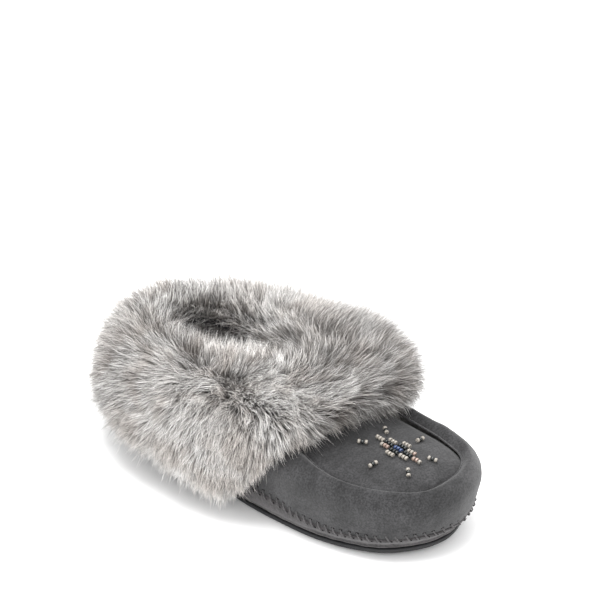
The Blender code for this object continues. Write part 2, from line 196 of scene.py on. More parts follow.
class SlipperSizes(bpy.types.PropertyGroup):
    guard_hairs: count_property("Guard hairs", "Long hairs on the cuff", 64000)
    under_hairs: count_property("Underfur hairs", "Short fine hairs on the cuff", 38000)
    throat_hairs: count_property("Throat hairs", "Hairs inside the opening", 14000)
    pile_hairs: count_property("Pile hairs", "Short hairs on the footbed", 12000)
    tufts: count_property("Tufts", "Number of locks that the hair gathers into", 7000)
    hair_length: length_property("Hair length", "Length of a full guard hair", 0.0205, 0.002, 4)
    hair_radius: length_property("Hair radius", "Radius of a guard hair's shaft", 0.00012, 0.00002, 5)
    hide_depth: length_property("Hide depth", "Depth of the hide under the cuff's face", 0.0035, 0.0, 4)
    stitch_pitch: length_property("Stitch pitch", "Distance between stitches", 0.0048, 0.002, 4)
    thread_radius: length_property("Thread radius", "Radius of the lacing thread", 0.00042, 0.0001, 5)


class SlipperColours(bpy.types.PropertyGroup):
    suede: colour_property("Suede", "Main suede", 0.0192, 0.0190, 0.0198)
    suede_pale: colour_property("Brushed suede", "Suede with its nap up", 0.0375, 0.0368, 0.0385)
    band: colour_property("Lower band", "Suede band above the sole", 0.0345, 0.0315, 0.0325)
    fur_tip: colour_property("Fur tips", "Pale ends of the hair", 0.96, 0.95, 0.94)
    fur_shaft: colour_property("Fur shafts", "Middle of the hair", 0.56, 0.545, 0.53)
    fur_root: colour_property("Fur roots", "Foot of the hair", 0.13, 0.122, 0.116)
    thread: colour_property("Thread", "Lacing thread", 0.052, 0.049, 0.050)
    sole: colour_property("Sole", "Outsole", 0.014, 0.014, 0.015)


# ---- curves and the last -------------------------------------------------------------------


def spline(control, places, closed):
    """Catmull-Rom curve through the control rows, read at the given places."""
    count = len(control)
    start = np.floor(places).astype(int)
    if not closed:
        start = np.minimum(start, count - 2)
    f = (places - start).reshape(-1, *[1] * (control.ndim - 1))
    rows = []
    for step in (-1, 0, 1, 2):
        index = start + step
        index = index % count if closed else np.clip(index, 0, count - 1)
        rows.append(control[index])
    a, b, c, d = rows
    return b + 0.5 * f * (c - a + f * (2 * a - 5 * b + 4 * c - d + f * (3 * (b - c) + d - a)))


def outward(curve):
    """Plan normals of a closed curve that runs anticlockwise."""
    along = np.roll(curve, -1, axis=0) - np.roll(curve, 1, axis=0)
    normal = np.stack([along[:, 1], -along[:, 0]], axis=1)
    return unit(normal)


def unit(vectors):
    """Vectors scaled to length 1."""
    return vectors / np.maximum(np.linalg.norm(vectors, axis=-1, keepdims=True), 1e-9)


def smooth_step(low, high, value):
    """Eases from 0 at low to 1 at high."""
    t = np.clip((value - low) / (high - low), 0, 1)
    return t * t * (3 - 2 * t)


def even_places(control, count):
    """Places that split a closed curve into equal lengths."""
    fine = np.linspace(0, len(control), 2400, endpoint=False)
    points = spline(control, fine, True)
    steps = np.linalg.norm(np.roll(points, -1, axis=0) - points, axis=1)
    reached = np.concatenate([[0], np.cumsum(steps)])
    wanted = np.linspace(0, reached[-1], count, endpoint=False)
    return np.interp(wanted, reached, np.append(fine, len(control)))


class Body:
    """Curves and the outer face of the side wall, shared by the pieces."""

    def __init__(self):
        last = np.array(LAST, float)
        places = even_places(last[:, :2], STATIONS)
        rows = spline(last, places, True)
        self.sole = rows[:, :2]
        self.normal = outward(self.sole)
        self.top = rows[:, 2:5]
        self.bulge = rows[:, 5:6]
        self.crest = np.clip(rows[:, 6], 0, 4)
        self.control = self.wall_control()
        steps = np.linalg.norm(np.diff(self.sole, axis=0, append=self.sole[:1]), axis=1)
        self.girth = np.concatenate([[0], np.cumsum(steps)])

    def wall_control(self):
        """Six rows of points from the foot of the wall up to its top edge."""
        front = self.crest / 4
        top_z = self.top[:, 2]
        belly = self.sole + self.normal * self.bulge
        inward = belly - self.top[:, :2]
        slim = front[:, None]
        low_plan = self.sole + self.normal * self.bulge * (0.72 - 0.22 * slim)
        foot = np.column_stack([self.sole - self.normal, np.full(STATIONS, WALL_FOOT)])
        low = np.column_stack([low_plan, np.full(STATIONS, 12.5)])
        waist = self.sole + self.normal * self.bulge * (1 - 0.2 * slim)
        middle = np.column_stack([waist, top_z * (0.48 + 0.08 * front)])
        brow = belly - inward * (0.22 - 0.16 * slim)
        shoulder = np.column_stack([brow, top_z * (0.8 + 0.08 * front)])
        rise = top_z + self.crest - (1 - front) * 5
        crest = np.column_stack([self.top[:, :2] + inward * (0.3 + 0.12 * front)[:, None], rise])
        return np.stack([foot, low, middle, shoulder, crest, self.top])

    def at(self, places, depth):
        """Points and normals at one place per station or at several for all, (step, station, 3)."""
        up = spline(self.control, np.clip(places + 0.02, 0, 5), False)
        up = up - spline(self.control, np.clip(places - 0.02, 0, 5), False)
        points = spline(self.control, places, False)
        around = np.roll(points, -1, axis=1) - np.roll(points, 1, axis=1)
        normal = unit(np.cross(around, up))
        return points - normal * depth, normal

    def at_height(self, heights, depth):
        """Points and normals on the wall's lower half at a height for each station."""
        places = np.linspace(0, 3, 120)
        points, normal = self.at(places, depth)
        found, normals = [], []
        for i, height in enumerate(heights):
            place = np.interp(height, points[:, i, 2], np.arange(120))
            low = min(int(place), 118)
            part = place - low
            found.append(points[low, i] * (1 - part) + points[low + 1, i] * part)
            normals.append(normal[low, i])
        return np.array(found), np.array(normals)

    def seam(self, count, back=PLUG_BACK + 12):
        """Top edge of the wall round the toe, from the outer side to the inner side."""
        order = np.roll(self.top, STATIONS // 2, axis=0)
        front = order[order[:, 1] < back]
        return spline(front, np.linspace(0, len(front) - 1, count), False)

    def lacing_height(self):
        """Height of the lacing line: low round the toe, higher at the waist and the heel."""
        return 13.6 + 7.4 * smooth_step(-62, 0, self.sole[:, 1])


class Vamp:
    """Crowned panel inside the toe roll: its half-edges and its height."""

    def __init__(self, body):
        edge = body.seam(400)
        tip = int(np.argmin(edge[:, 1]))
        self.outer = edge[: tip + 1][::-1]
        self.inner = edge[tip:]
        self.tip = edge[tip]

    def edges(self, y):
        """Outer and inner x, then their heights, at these y."""
        left = np.interp(y, self.outer[:, 1], self.outer[:, 0])
        right = np.interp(y, self.inner[:, 1], self.inner[:, 0])
        left_z = np.interp(y, self.outer[:, 1], self.outer[:, 2])
        right_z = np.interp(y, self.inner[:, 1], self.inner[:, 2])
        return left, right, left_z, right_z

    def height(self, x, y):
        """Height of the panel's top face."""
        left, right, left_z, right_z = self.edges(y)
        across = np.clip((x - left) / np.maximum(right - left, 1e-6), 0, 1)
        from_tip = np.clip((y - self.tip[1]) / 26, 0, 1)
        crown = PLUG_CROWN * (1 - (1 - from_tip) ** 2) * (1 - (2 * across - 1) ** 2)
        return left_z + (right_z - left_z) * across + crown - 0.6

    def panel(self, gap, rows, columns, back):
        """Rows of top-face points from the toe end to the back edge."""
        ease = 1 - np.cos(np.linspace(0.05, 1, rows) * math.pi / 2)
        ys = self.tip[1] + gap + (back - self.tip[1] - gap) * ease
        left, right, _, _ = self.edges(ys)
        across = (1 - np.cos(np.linspace(0, 1, columns) * math.pi)) / 2
        xs = (left + gap)[:, None] + (right - left - 2 * gap)[:, None] * across
        grid_y = np.repeat(ys[:, None], columns, axis=1)
        return np.stack([xs, grid_y, self.height(xs, grid_y)], axis=2)


@functools.lru_cache(maxsize=None)
def body_shape():
    return Body()


@functools.lru_cache(maxsize=None)
def vamp_shape():
    return Vamp(body_shape())


@functools.lru_cache(maxsize=None)
def shift():
    """Move from the last's own origin to the frame's, in metres."""
    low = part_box("outsole")[0][1]
    return np.array([0.0, low - body_shape().sole[:, 1].min() * MM, 0.0])


def spring(points):
    """Rise of the turned-up toe at these points, in mm."""
    rise, start, length = TOE_SPRING
    return rise * np.clip((start - points[..., 1]) / length, 0, None) ** 1.35


def to_frame(points):
    """Points on the last in mm, moved to the frame in metres with the toe turned up."""
    points = np.array(points, float)
    points[..., 2] += spring(points)
    return points * MM + shift()


def from_frame(points):
    """Points in the frame in metres, moved back to the last in mm."""
    points = (np.array(points, float) - shift()) / MM
    points[..., 2] -= spring(points)
    return points


def ripple(points, size, seed):
    """Slow waves from -1 to 1 over a set of points in mm."""
    rng = np.random.default_rng(seed)
    total = np.zeros(points.shape[:-1])
    for _ in range(7):
        wave = unit(rng.normal(size=3)) * 2 * math.pi / (size * rng.uniform(0.6, 1.7))
        total += np.sin(points @ wave + rng.uniform(0, 2 * math.pi))
    return total / 3.5


# ---- making pieces -------------------------------------------------------------------------


def add_piece(name, points, faces, looks, slot, replaces=(), index=None):
    """Mesh piece from points in mm on the last; rides on the slipper."""
    mesh = bpy.data.meshes.new(name)
    mesh.from_pydata(to_frame(points).tolist(), [], faces)
    for look in looks:
        mesh.materials.append(look)
    if index is not None:
        mesh.polygons.foreach_set("material_index", np.asarray(index, np.int32))
    shape = bmesh.new()
    shape.from_mesh(mesh)
    bmesh.ops.remove_doubles(shape, verts=shape.verts, dist=1e-7)
    bmesh.ops.recalc_face_normals(shape, faces=shape.faces)
    shape.to_mesh(mesh)
    shape.free()
    mesh.shade_smooth()
    return place(name, mesh, slot, replaces)


def place(name, mesh, slot, replaces=()):
    """Piece from a finished mesh; rides on the slipper."""
    obj = bpy.data.objects.new(name, mesh)
    bpy.context.scene.collection.objects.link(obj)
    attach(obj, "root")
    if replaces:
        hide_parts(*replaces)
    return obj


def sweep_faces(count, corners, ring):
    """Faces that join sections end to end, with caps unless they run in a ring."""
    faces = []
    for i in range(count if ring else count - 1):
        a, b = i * corners, (i + 1) % count * corners
        for j in range(corners):
            k = (j + 1) % corners
            faces.append((a + j, b + j, b + k, a + k))
    if not ring:
        faces.append(tuple(range(corners)))
        faces.append(tuple(range((count - 1) * corners, count * corners)))
    return faces


def sweep(name, sections, ring, look, slot, replaces=()):
    """Solid through closed sections (station, corner, 3), joined end to end or capped."""
    faces = sweep_faces(*sections.shape[:2], ring)
    return add_piece(name, sections.reshape(-1, 3), faces, [look], slot, replaces)


def many(name, solids, looks, slot, replaces=()):
    """One piece from several swept solids, each (sections, ring, look number)."""
    points, faces, index, base = [], [], [], 0
    for sections, ring, look in solids:
        made = sweep_faces(*sections.shape[:2], ring)
        faces += [tuple(base + k for k in face) for face in made]
        index += [look] * len(made)
        points.append(sections.reshape(-1, 3))
        base += len(points[-1])
    return add_piece(name, np.concatenate(points), faces, looks, slot, replaces, index)


def stack(name, loops, look, slot, replaces=()):
    """Solid through closed loops from the bottom up, with strips across the ends."""
    count, corners = loops.shape[:2]
    faces = []
    for i in range(count - 1):
        for j in range(corners):
            k = (j + 1) % corners
            a, b = i * corners, (i + 1) * corners
            faces.append((a + j, a + k, b + k, b + j))
    for base in (0, (count - 1) * corners):
        for j in range(corners // 2):
            strip = (base + j, base + j + 1, base + corners - j - 1, base + (corners - j) % corners)
            faces.append(tuple(dict.fromkeys(strip)))
    return add_piece(name, loops.reshape(-1, 3), faces, [look], slot, replaces)


def tube_sections(path, radius, sides, ring=False):
    """Round sections along a path in mm; radius is one number or one per point."""
    if ring:
        along = np.roll(path, -1, axis=0) - np.roll(path, 1, axis=0)
    else:
        along = np.gradient(path, axis=0)
    along = unit(along)
    side = unit(np.cross(along, (0.05, 0.03, 1.0)))
    up = np.cross(side, along)
    turn = np.linspace(0, 2 * math.pi, sides, endpoint=False)
    circle = side[:, None] * np.cos(turn)[:, None] + up[:, None] * np.sin(turn)[:, None]
    return path[:, None] + circle * np.broadcast_to(radius, len(path))[:, None, None]


# ---- looks ---------------------------------------------------------------------------------


class Look:
    """A Principled material and short calls for the nodes that feed it."""

    def __init__(self, name, colour, roughness, **fixed):
        self.material = bpy.data.materials.new(name)
        self.material.use_nodes = True
        self.tree = self.material.node_tree
        self.shader = self.tree.nodes["Principled BSDF"]
        self.shader.inputs["Base Color"].default_value = (*colour, 1)
        self.shader.inputs["Roughness"].default_value = roughness
        for socket, value in fixed.items():
            self.shader.inputs[socket.replace("_", " ")].default_value = value
        self.place = self.tree.nodes.new("ShaderNodeTexCoord").outputs["Object"]

    def link(self, source, target):
        self.tree.links.new(source, target)

    def noise(self, scale, detail=3.0, stretch=None, distortion=0.0):
        node = self.tree.nodes.new("ShaderNodeTexNoise")
        node.inputs["Scale"].default_value = scale
        node.inputs["Detail"].default_value = detail
        node.inputs["Distortion"].default_value = distortion
        source = self.place
        if stretch:
            mapping = self.tree.nodes.new("ShaderNodeMapping")
            mapping.inputs["Scale"].default_value = stretch
            self.link(source, mapping.inputs["Vector"])
            source = mapping.outputs["Vector"]
        self.link(source, node.inputs["Vector"])
        return node.outputs["Fac"]

    def ramp(self, source, *stops):
        node = self.tree.nodes.new("ShaderNodeValToRGB")
        elements = node.color_ramp.elements
        while len(elements) < len(stops):
            elements.new(0.5)
        for element, (position, colour) in zip(elements, stops):
            element.position = position
            element.color = (*colour, 1) if len(colour) == 3 else colour
        self.link(source, node.inputs["Fac"])
        return node.outputs["Color"]

    def mix(self, mode, factor, first, second):
        node = self.tree.nodes.new("ShaderNodeMix")
        node.data_type = "RGBA"
        node.blend_type = mode
        for socket, value in (("Factor", factor), ("A", first), ("B", second)):
            kind = "Float" if socket == "Factor" else "Color"
            target = next(s for s in node.inputs if s.identifier == f"{socket}_{kind}")
            if isinstance(value, (int, float)):
                target.default_value = value
            elif isinstance(value, tuple):
                target.default_value = (*value, 1)
            else:
                self.link(value, target)
        return next(s for s in node.outputs if s.identifier == "Result_Color")

    def attribute(self, name):
        node = self.tree.nodes.new("ShaderNodeAttribute")
        node.attribute_name = name
        return node.outputs["Fac"]

    def bump(self, *layers):
        """Layers of (height, strength, distance in metres), coarse first."""
        before = None
        for height, strength, distance in layers:
            node = self.tree.nodes.new("ShaderNodeBump")
            node.inputs["Strength"].default_value = strength
            node.inputs["Distance"].default_value = distance
            self.link(height, node.inputs["Height"])
            if before:
                self.link(before, node.inputs["Normal"])
            before = node.outputs["Normal"]
        self.link(before, self.shader.inputs["Normal"])

    def colour(self, source):
        self.link(source, self.shader.inputs["Base Color"])

    def roughness(self, source):
        self.link(source, self.shader.inputs["Roughness"])


def grey(value):
    return (value, value, value)


def times(colour, factor):
    """A colour made lighter or darker, no lighter than white."""
    return tuple(min(1, c * factor) for c in colour)


@functools.lru_cache(maxsize=None)
def look_of(name, make, *values):
    """The material of this name, made on first use."""
    return make(name, *values)


def colours():
    return bpy.context.scene.slipper_colours


def in_mm(name):
    """One of the slipper's lengths, in mm."""
    return getattr(bpy.context.scene.slipper_sizes, name) / MM


def how_many(name):
    full = getattr(bpy.context.scene.slipper_sizes, name)
    return int(full * (1))


def make_suede(name, dark=None, pale=None):
    dark = tuple(dark or colours().suede)
    pale = tuple(pale or colours().suede_pale)
    look = Look(name, dark, 0.95, Sheen_Weight=0.18, Sheen_Roughness=0.6, Specular_IOR_Level=0.15)
    patches = look.noise(42, 4, distortion=0.7)
    brushed = look.noise(120, 3, stretch=(1, 3.2, 1))
    nap = look.noise(900, 4)
    speck = look.noise(2600, 2)
    tone = look.ramp(patches, (0.38, dark), (0.68, pale))
    tone = look.mix("OVERLAY", 0.55, tone, look.ramp(brushed, (0.3, grey(0.36)), (0.7, grey(0.64))))
    tone = look.mix("MULTIPLY", 0.7, tone, look.ramp(nap, (0.36, grey(0.4)), (0.62, grey(1.5))))
    tone = look.mix("MULTIPLY", 0.5, tone, look.ramp(speck, (0.36, grey(0.6)), (0.6, grey(1.3))))
    look.colour(tone)
    look.roughness(look.ramp(patches, (0.3, grey(0.98)), (0.7, grey(0.86))))
    look.bump((patches, 0.25, 0.0006), (nap, 0.55, 0.00022), (speck, 0.4, 0.0001))
    return look.material


def make_band(name):
    band = tuple(colours().band)
    return make_suede(name, band, times(band, 1.45))


# Cut suede edge: a real edge whose paler colour is a painted highlight where it catches the light.
def make_edge_highlight(name):
    pale = tuple(colours().suede_pale)
    return make_suede(name, pale, times(pale, 1.35))


def make_rubber(name):
    base = tuple(colours().sole)
    look = Look(name, base, 0.6, Specular_IOR_Level=0.35)
    dust = look.noise(160, 4)
    grain = look.noise(1500, 2)
    tone = look.ramp(dust, (0.35, base), (0.7, times(base, 1.9)))
    look.colour(look.mix("MULTIPLY", 0.5, tone, look.ramp(grain, (0.3, grey(0.7)), (0.7, grey(1.2)))))
    look.roughness(look.ramp(dust, (0.3, grey(0.5)), (0.7, grey(0.75))))
    look.bump((grain, 0.5, 0.00012))
    return look.material


def make_thread(name):
    base = tuple(colours().thread)
    look = Look(name, base, 0.7, Sheen_Weight=0.1)
    ply = look.noise(1800, 2)
    look.colour(look.ramp(ply, (0.35, times(base, 0.55)), (0.65, times(base, 1.7))))
    look.bump((ply, 0.6, 0.00015))
    return look.material


# Near-black: painted shade inside the stitch holes.
def make_hole_shade(name):
    look = Look(name, grey(0.008), 0.95, Specular_IOR_Level=0.05)
    rough = look.noise(1400, 2)
    look.colour(look.ramp(rough, (0.3, grey(0.005)), (0.7, grey(0.02))))
    return look.material


def make_glass_bead(name, colour, depth):
    look = Look(name, colour, 0.22, Coat_Weight=0.35, Coat_Roughness=0.08, IOR=1.5)
    streak = look.noise(700, 3)
    dull, pale = times(colour, 1 - depth * 0.6), times(colour, 1 + depth)
    look.colour(look.ramp(streak, (0.3, dull), (0.7, pale)))
    look.roughness(look.ramp(streak, (0.3, grey(0.14)), (0.7, grey(0.32))))
    return look.material


BEAD_COLOURS = {
    "w": ("bead_cream", (0.27, 0.247, 0.216), 0.35),
    "p": ("bead_blush", (0.25, 0.18, 0.15), 0.35),
    "d": ("bead_black", (0.006, 0.008, 0.008), 0.6),
    "b": ("bead_night_blue", (0.030, 0.050, 0.115), 1.2),
}


def bead_look(letter):
    name, colour, depth = BEAD_COLOURS[letter]
    return look_of(name, make_glass_bead, colour, depth)


def make_weave(name, colour):
    look = Look(name, colour, 0.9, Sheen_Weight=0.1)
    patches = look.noise(70, 3)
    waves = []
    for direction in ("X", "Y"):
        wave = look.tree.nodes.new("ShaderNodeTexWave")
        wave.bands_direction = direction
        wave.inputs["Scale"].default_value = 420
        wave.inputs["Distortion"].default_value = 0.6
        look.link(look.place, wave.inputs["Vector"])
        waves.append(wave.outputs["Fac"])
    knit = look.mix("LIGHTEN", 1.0, waves[0], waves[1])
    tone = look.ramp(patches, (0.35, times(colour, 0.8)), (0.7, times(colour, 1.2)))
    look.colour(look.mix("MULTIPLY", 0.5, tone, knit))
    look.bump((knit, 0.5, 0.0002))
    return look.material


def make_board(name):
    look = Look(name, (0.33, 0.26, 0.19), 0.85)
    fibre = look.noise(600, 4, stretch=(1, 0.2, 1))
    look.colour(look.ramp(fibre, (0.3, (0.24, 0.18, 0.13)), (0.7, (0.42, 0.34, 0.26))))
    look.bump((fibre, 0.4, 0.0002))
    return look.material


# Set-back midsole foam, near-black: the foam's own dark colour, and painted shade in the gap between the
# band and the sole.
def make_gap_shade_foam(name):
    look = Look(name, (0.012, 0.012, 0.012), 0.9)
    cells = look.noise(1600, 2)
    look.colour(look.ramp(cells, (0.3, grey(0.006)), (0.7, grey(0.02))))
    look.bump((cells, 0.6, 0.0003))
    return look.material


def make_fleece(name):
    look = Look(name, (0.5, 0.48, 0.46), 1.0, Sheen_Weight=0.3)
    curls = look.noise(420, 4, distortion=1.2)
    patches = look.noise(50, 3)
    tone = look.ramp(patches, (0.3, (0.34, 0.325, 0.31)), (0.7, (0.52, 0.50, 0.48)))
    look.colour(look.mix("MULTIPLY", 0.7, tone, look.ramp(curls, (0.3, grey(0.5)), (0.65, grey(1.15)))))
    look.bump((curls, 0.9, 0.0012))
    return look.material


def make_hide(name):
    look = Look(name, (0.22, 0.21, 0.20), 1.0)
    pile = look.noise(700, 4, distortion=0.8)
    look.colour(look.ramp(pile, (0.3, (0.09, 0.084, 0.08)), (0.7, (0.26, 0.248, 0.236))))
    look.bump((pile, 0.8, 0.001))
    return look.material


def make_fur(name, tint=1.0):
    """Hair coloured from root to tip, each strand with its own tone, in slow patches."""
    natural = (colours().fur_root, colours().fur_shaft, colours().fur_tip)
    root, shaft, tip = (times(colour, tint) for colour in natural)
    look = Look(name, shaft, 0.6, Specular_IOR_Level=0.3)
    along = look.attribute("along")
    tone = look.attribute("tone")
    middle = tuple((a + b) / 2 for a, b in zip(root, shaft))
    pale = look.ramp(along, (0.0, root), (0.35, middle), (0.6, shaft), (0.8, tip))
    dark = look.ramp(
        along, (0.0, times(root, 0.5)), (0.4, root), (0.8, times(shaft, 0.45)), (1.0, times(shaft, 0.85))
    )
    patches = look.noise(48, 3, distortion=0.6)
    streak = look.mix("MIX", look.ramp(tone, (0.24, grey(0.0)), (0.52, grey(1.0))), dark, pale)
    brown = look.ramp(patches, (0.36, (0.76, 0.71, 0.67)), (0.58, (1.0, 0.995, 0.985)))
    look.colour(look.mix("MULTIPLY", 0.8, streak, brown))
    return look.material


def suede_look():
    return look_of("charcoal_suede", make_suede)


# ---- the pieces ----------------------------------------------------------------------------


def wall_sections(body):
    """Outer and inner faces of the suede wall, with soft dents and a gathered top edge."""
    steps = 56
    places = 5 * (1 - (1 - np.linspace(0, 1, steps)) ** 1.15)
    points, normal = body.at(places, 0.0)
    near_seam = smooth_step(3.6, 5.0, places)[:, None]
    girth = body.girth[:-1]
    gathers = np.sin(girth * 2 * math.pi / 5.2) * 0.16 * near_seam * (body.crest / 4)
    dents = ripple(points, 34, 3) * 0.45 * (1 - near_seam) * smooth_step(0.2, 1.5, places)[:, None]
    creases = ripple(points, 11, 5) * 0.12
    outer = points + normal * (gathers + dents + creases * (1 - near_seam))[..., None]
    inner = points - normal * 1.7
    return np.concatenate([outer, inner[::-1]]).transpose(1, 0, 2)


class SLIPPER_OT_wall(bpy.types.Operator):
    """Suede wall with its padded roll round the toe"""

    bl_idname = "slipper.wall"
    bl_label = "Suede wall"

    def execute(self, context):
        sections = wall_sections(body_shape())
        sweep("suede_wall", sections, True, suede_look(), "suede", ["upper_wall"])
        return {"FINISHED"}


def panel_face(vamp):
    """Top face of the vamp panel, sunk along its seam and most of all at the back of its inner side."""
    top = vamp.panel(0.1, 120, 90, PLUG_BACK)
    top[..., 2] += ripple(top, 26, 8) * 0.28 - 0.5
    left, right, _, _ = vamp.edges(top[..., 1])
    outer, inner, front = top[..., 0] - left, right - top[..., 0], top[..., 1] - vamp.tip[1]
    margin = np.minimum(np.minimum(outer, inner), front)
    top[..., 2] -= 0.8 * (1 - smooth_step(0.0, 4.0, margin))
    back = smooth_step(-85, -35, top[..., 1])
    top[..., 2] -= 1.8 * back * (1 - smooth_step(0.0, 7.0, inner))
    return top


class SLIPPER_OT_vamp(bpy.types.Operator):
    """Inset vamp panel and the raw suede edge that runs round it, painted paler as a highlight"""

    bl_idname = "slipper.vamp"
    bl_label = "Vamp panel and seam"

    def execute(self, context):
        top = panel_face(vamp_shape())
        sections = np.concatenate([top, (top - PANEL_THICK * UP)[:, ::-1]], axis=1)
        sweep("vamp_panel", sections, False, suede_look(), "suede", ["vamp_plug"])
        path = body_shape().seam(420, PLUG_BACK - 30)
        path = path + 0.25 * UP * (1 + 0.3 * ripple(path, 5, 2))[:, None]
        # The cut edge is painted paler than the suede: a painted highlight along the seam.
        edge = look_of("cut_suede_edge", make_edge_highlight)
        sweep("vamp_cut_edge", tube_sections(path, 0.5, 8), False, edge, "suede", ["vamp_seam_cord"])
        return {"FINISHED"}


class SLIPPER_OT_band(bpy.types.Operator):
    """Suede band between the sole and the lacing"""

    bl_idname = "slipper.band"
    bl_label = "Lower band"

    def execute(self, context):
        body = body_shape()
        line = body.lacing_height() - 0.4
        rows = []
        profile = (
            (0.02, -0.2), (0.0, 0.4), (0.04, 0.95), (0.14, 1.25), (0.3, 1.35), (0.45, 1.3),
            (0.6, 1.2), (0.74, 1.2), (0.86, 1.15), (0.95, 0.9), (1.0, 0.5), (1.0, 0.05),
        )
        for share, out in profile:
            height = BAND_FOOT + (line - BAND_FOOT) * share
            points, normal = body.at_height(np.maximum(height, WALL_FOOT + 0.3), 0.0)
            points[:, 2] = height
            girth = body.girth[:-1] * 2 * math.pi / in_mm("stitch_pitch")
            gather = 0.3 * np.sin(girth + 3.5 * share) * smooth_step(0.35, 0.95, share)
            lift = (0.22 * ripple(points, 9, 12) + gather) * (out > 0.8)
            rows.append(points + normal * (out + lift)[:, None])
        sections = np.stack(rows, axis=1)
        look = look_of("warm_suede_band", make_band)
        sweep("lower_band", sections, True, look, "suede_band", ["sole_wrap"])
        return {"FINISHED"}


def stitch_solids(body):
    """Slanted stitches over the band's edge, and the dark ovals, painted shade, that stand for the holes
    they pass through.
    """
    line = body.lacing_height()
    length = body.girth[-1]
    count = int(length / in_mm("stitch_pitch"))
    stations = np.arange(STATIONS)
    r = in_mm("thread_radius")
    upper, upper_n = body.at_height(line + 1.9, -0.05)
    lower, lower_n = body.at_height(line - 2.2, -1.3)
    middle, middle_n = body.at_height(line - 0.2, -1.1)
    stitches, holes = [], []
    rng = np.random.default_rng(21)

    def pick(table, girth):
        place = np.interp(girth % length, body.girth, np.append(stations, STATIONS))
        first = int(place) % STATIONS
        part = place - int(place)
        return table[first] * (1 - part) + table[(first + 1) % STATIONS] * part

    for k in range(count):
        start = k * length / count + rng.uniform(-0.3, 0.3)
        a = pick(upper, start)
        b = pick(lower, start + 2.4 + rng.uniform(-0.5, 0.5))
        m = pick(middle, start + 1.2)
        out_a, out_b, out_m = pick(upper_n, start), pick(lower_n, start), pick(middle_n, start)
        knots = np.array([
            a - out_a * 0.7, a + out_a * r * 0.7, m + out_m * r * 0.75, b + out_b * r * 0.7,
            b - out_b * 0.7,
        ])
        path = spline(knots, np.linspace(0, 4, 11), False)
        stitches.append((tube_sections(path, r, 7), False, 0))
        for centre, out, size in ((a, out_a, 0.95), (b, out_b, 0.7)):
            ahead = unit(pick(upper, start + 1.5) - pick(upper, start - 1.5))
            holes.append((dimple(centre, out, ahead, size), False, 0))
    return stitches, holes


def dimple(centre, out, ahead, size):
    """Low oval, painted dark as the shade inside the hole a stitch goes through."""
    across = np.cross(out, ahead)
    turn = np.linspace(0, 2 * math.pi, 10, endpoint=False)
    oval = ahead * np.cos(turn)[:, None] * 1.15 * size + across * np.sin(turn)[:, None] * 0.62 * size
    levels = ((1.0, -0.5), (1.0, 0.02), (0.72, 0.16), (0.3, 0.2))
    return np.stack([centre + oval * share + out * rise for share, rise in levels])


class SLIPPER_OT_lacing(bpy.types.Operator):
    """Whipped lacing stitches round the foot of the wall, with the painted shade of their holes"""

    bl_idname = "slipper.lacing"
    bl_label = "Lacing"

    def execute(self, context):
        stitches, holes = stitch_solids(body_shape())
        thread = look_of("lacing_thread", make_thread)
        many("lacing_stitches", stitches, [thread], "thread", ["lace_upper", "lace_lower"])
        # The holes are dark ovals painted as the shade inside them.
        many("lacing_hole_shade", holes, [look_of("stitch_hole", make_hole_shade)], "thread")
        return {"FINISHED"}


def bead_sections(middle, along, side, up, twist):
    """One seed bead: a rounded barrel with a hole through it, as a closed ring section."""
    turn = np.linspace(0, 2 * math.pi, 20, endpoint=False) + twist
    around = np.linspace(0, 2 * math.pi, 14, endpoint=False)
    half, wall = 0.84, 0.58
    reach = np.sign(np.cos(around)) * np.abs(np.cos(around)) ** 0.75 * half
    radius = BEAD_R - wall + np.sign(np.sin(around)) * np.abs(np.sin(around)) ** 0.8 * wall
    circle = side * np.cos(turn)[:, None] + up * np.sin(turn)[:, None]
    return middle + along * reach[:, None] + circle[:, None] * radius[:, None]


def add_bead_row(name, centre, angle, letters, node, rng):
    """Three beads on a thread lying on the vamp, turned by angle from the toe direction."""
    vamp = vamp_shape()
    x, y = centre
    aim = np.array([math.sin(angle), -math.cos(angle)])
    ends = [vamp.height(x + aim[0] * s, y + aim[1] * s) for s in (-3.0, 3.0)]
    along = unit(np.array([*(aim * 6.0), ends[1] - ends[0]]))
    side = unit(np.cross(along, (0, 0, 1.0)))
    up = np.cross(side, along)
    middle = np.array([x, y, (ends[0] + ends[1]) / 2]) + up * (BEAD_R + 0.05)
    solids = []
    looks = [look_of("lacing_thread", make_thread)]
    for letter, step in zip(letters, (-1, 0, 1)):
        look = bead_look(letter)
        if look not in looks:
            looks.append(look)
        tilt = rng.normal(0, 0.07, 2)
        turned = unit(along + side * tilt[0] + up * tilt[1])
        sideways = unit(np.cross(turned, up))
        spot = middle + along * step * BEAD_PITCH + side * rng.normal(0, 0.1) + up * rng.normal(0, 0.06)
        ring = bead_sections(spot, turned, sideways, np.cross(sideways, turned), rng.uniform(0, 1))
        solids.append((ring, True, looks.index(look)))
    reach = 1.5 * BEAD_PITCH
    knots = np.array([
        middle - along * (reach + 0.3) - up * 2.2, middle - along * reach - up * 0.5,
        middle - along * BEAD_PITCH, middle, middle + along * BEAD_PITCH,
        middle + along * reach - up * 0.5, middle + along * (reach + 0.3) - up * 2.2,
    ])
    path = spline(knots, np.linspace(0, 6, 25), False)
    solids.append((tube_sections(path, 0.22, 6), False, 0))
    slot = "bead_blue" if letters == "bbb" else "bead_dark" if letters == "ddd" else "bead_white"
    many(name, solids, looks, slot, [node])


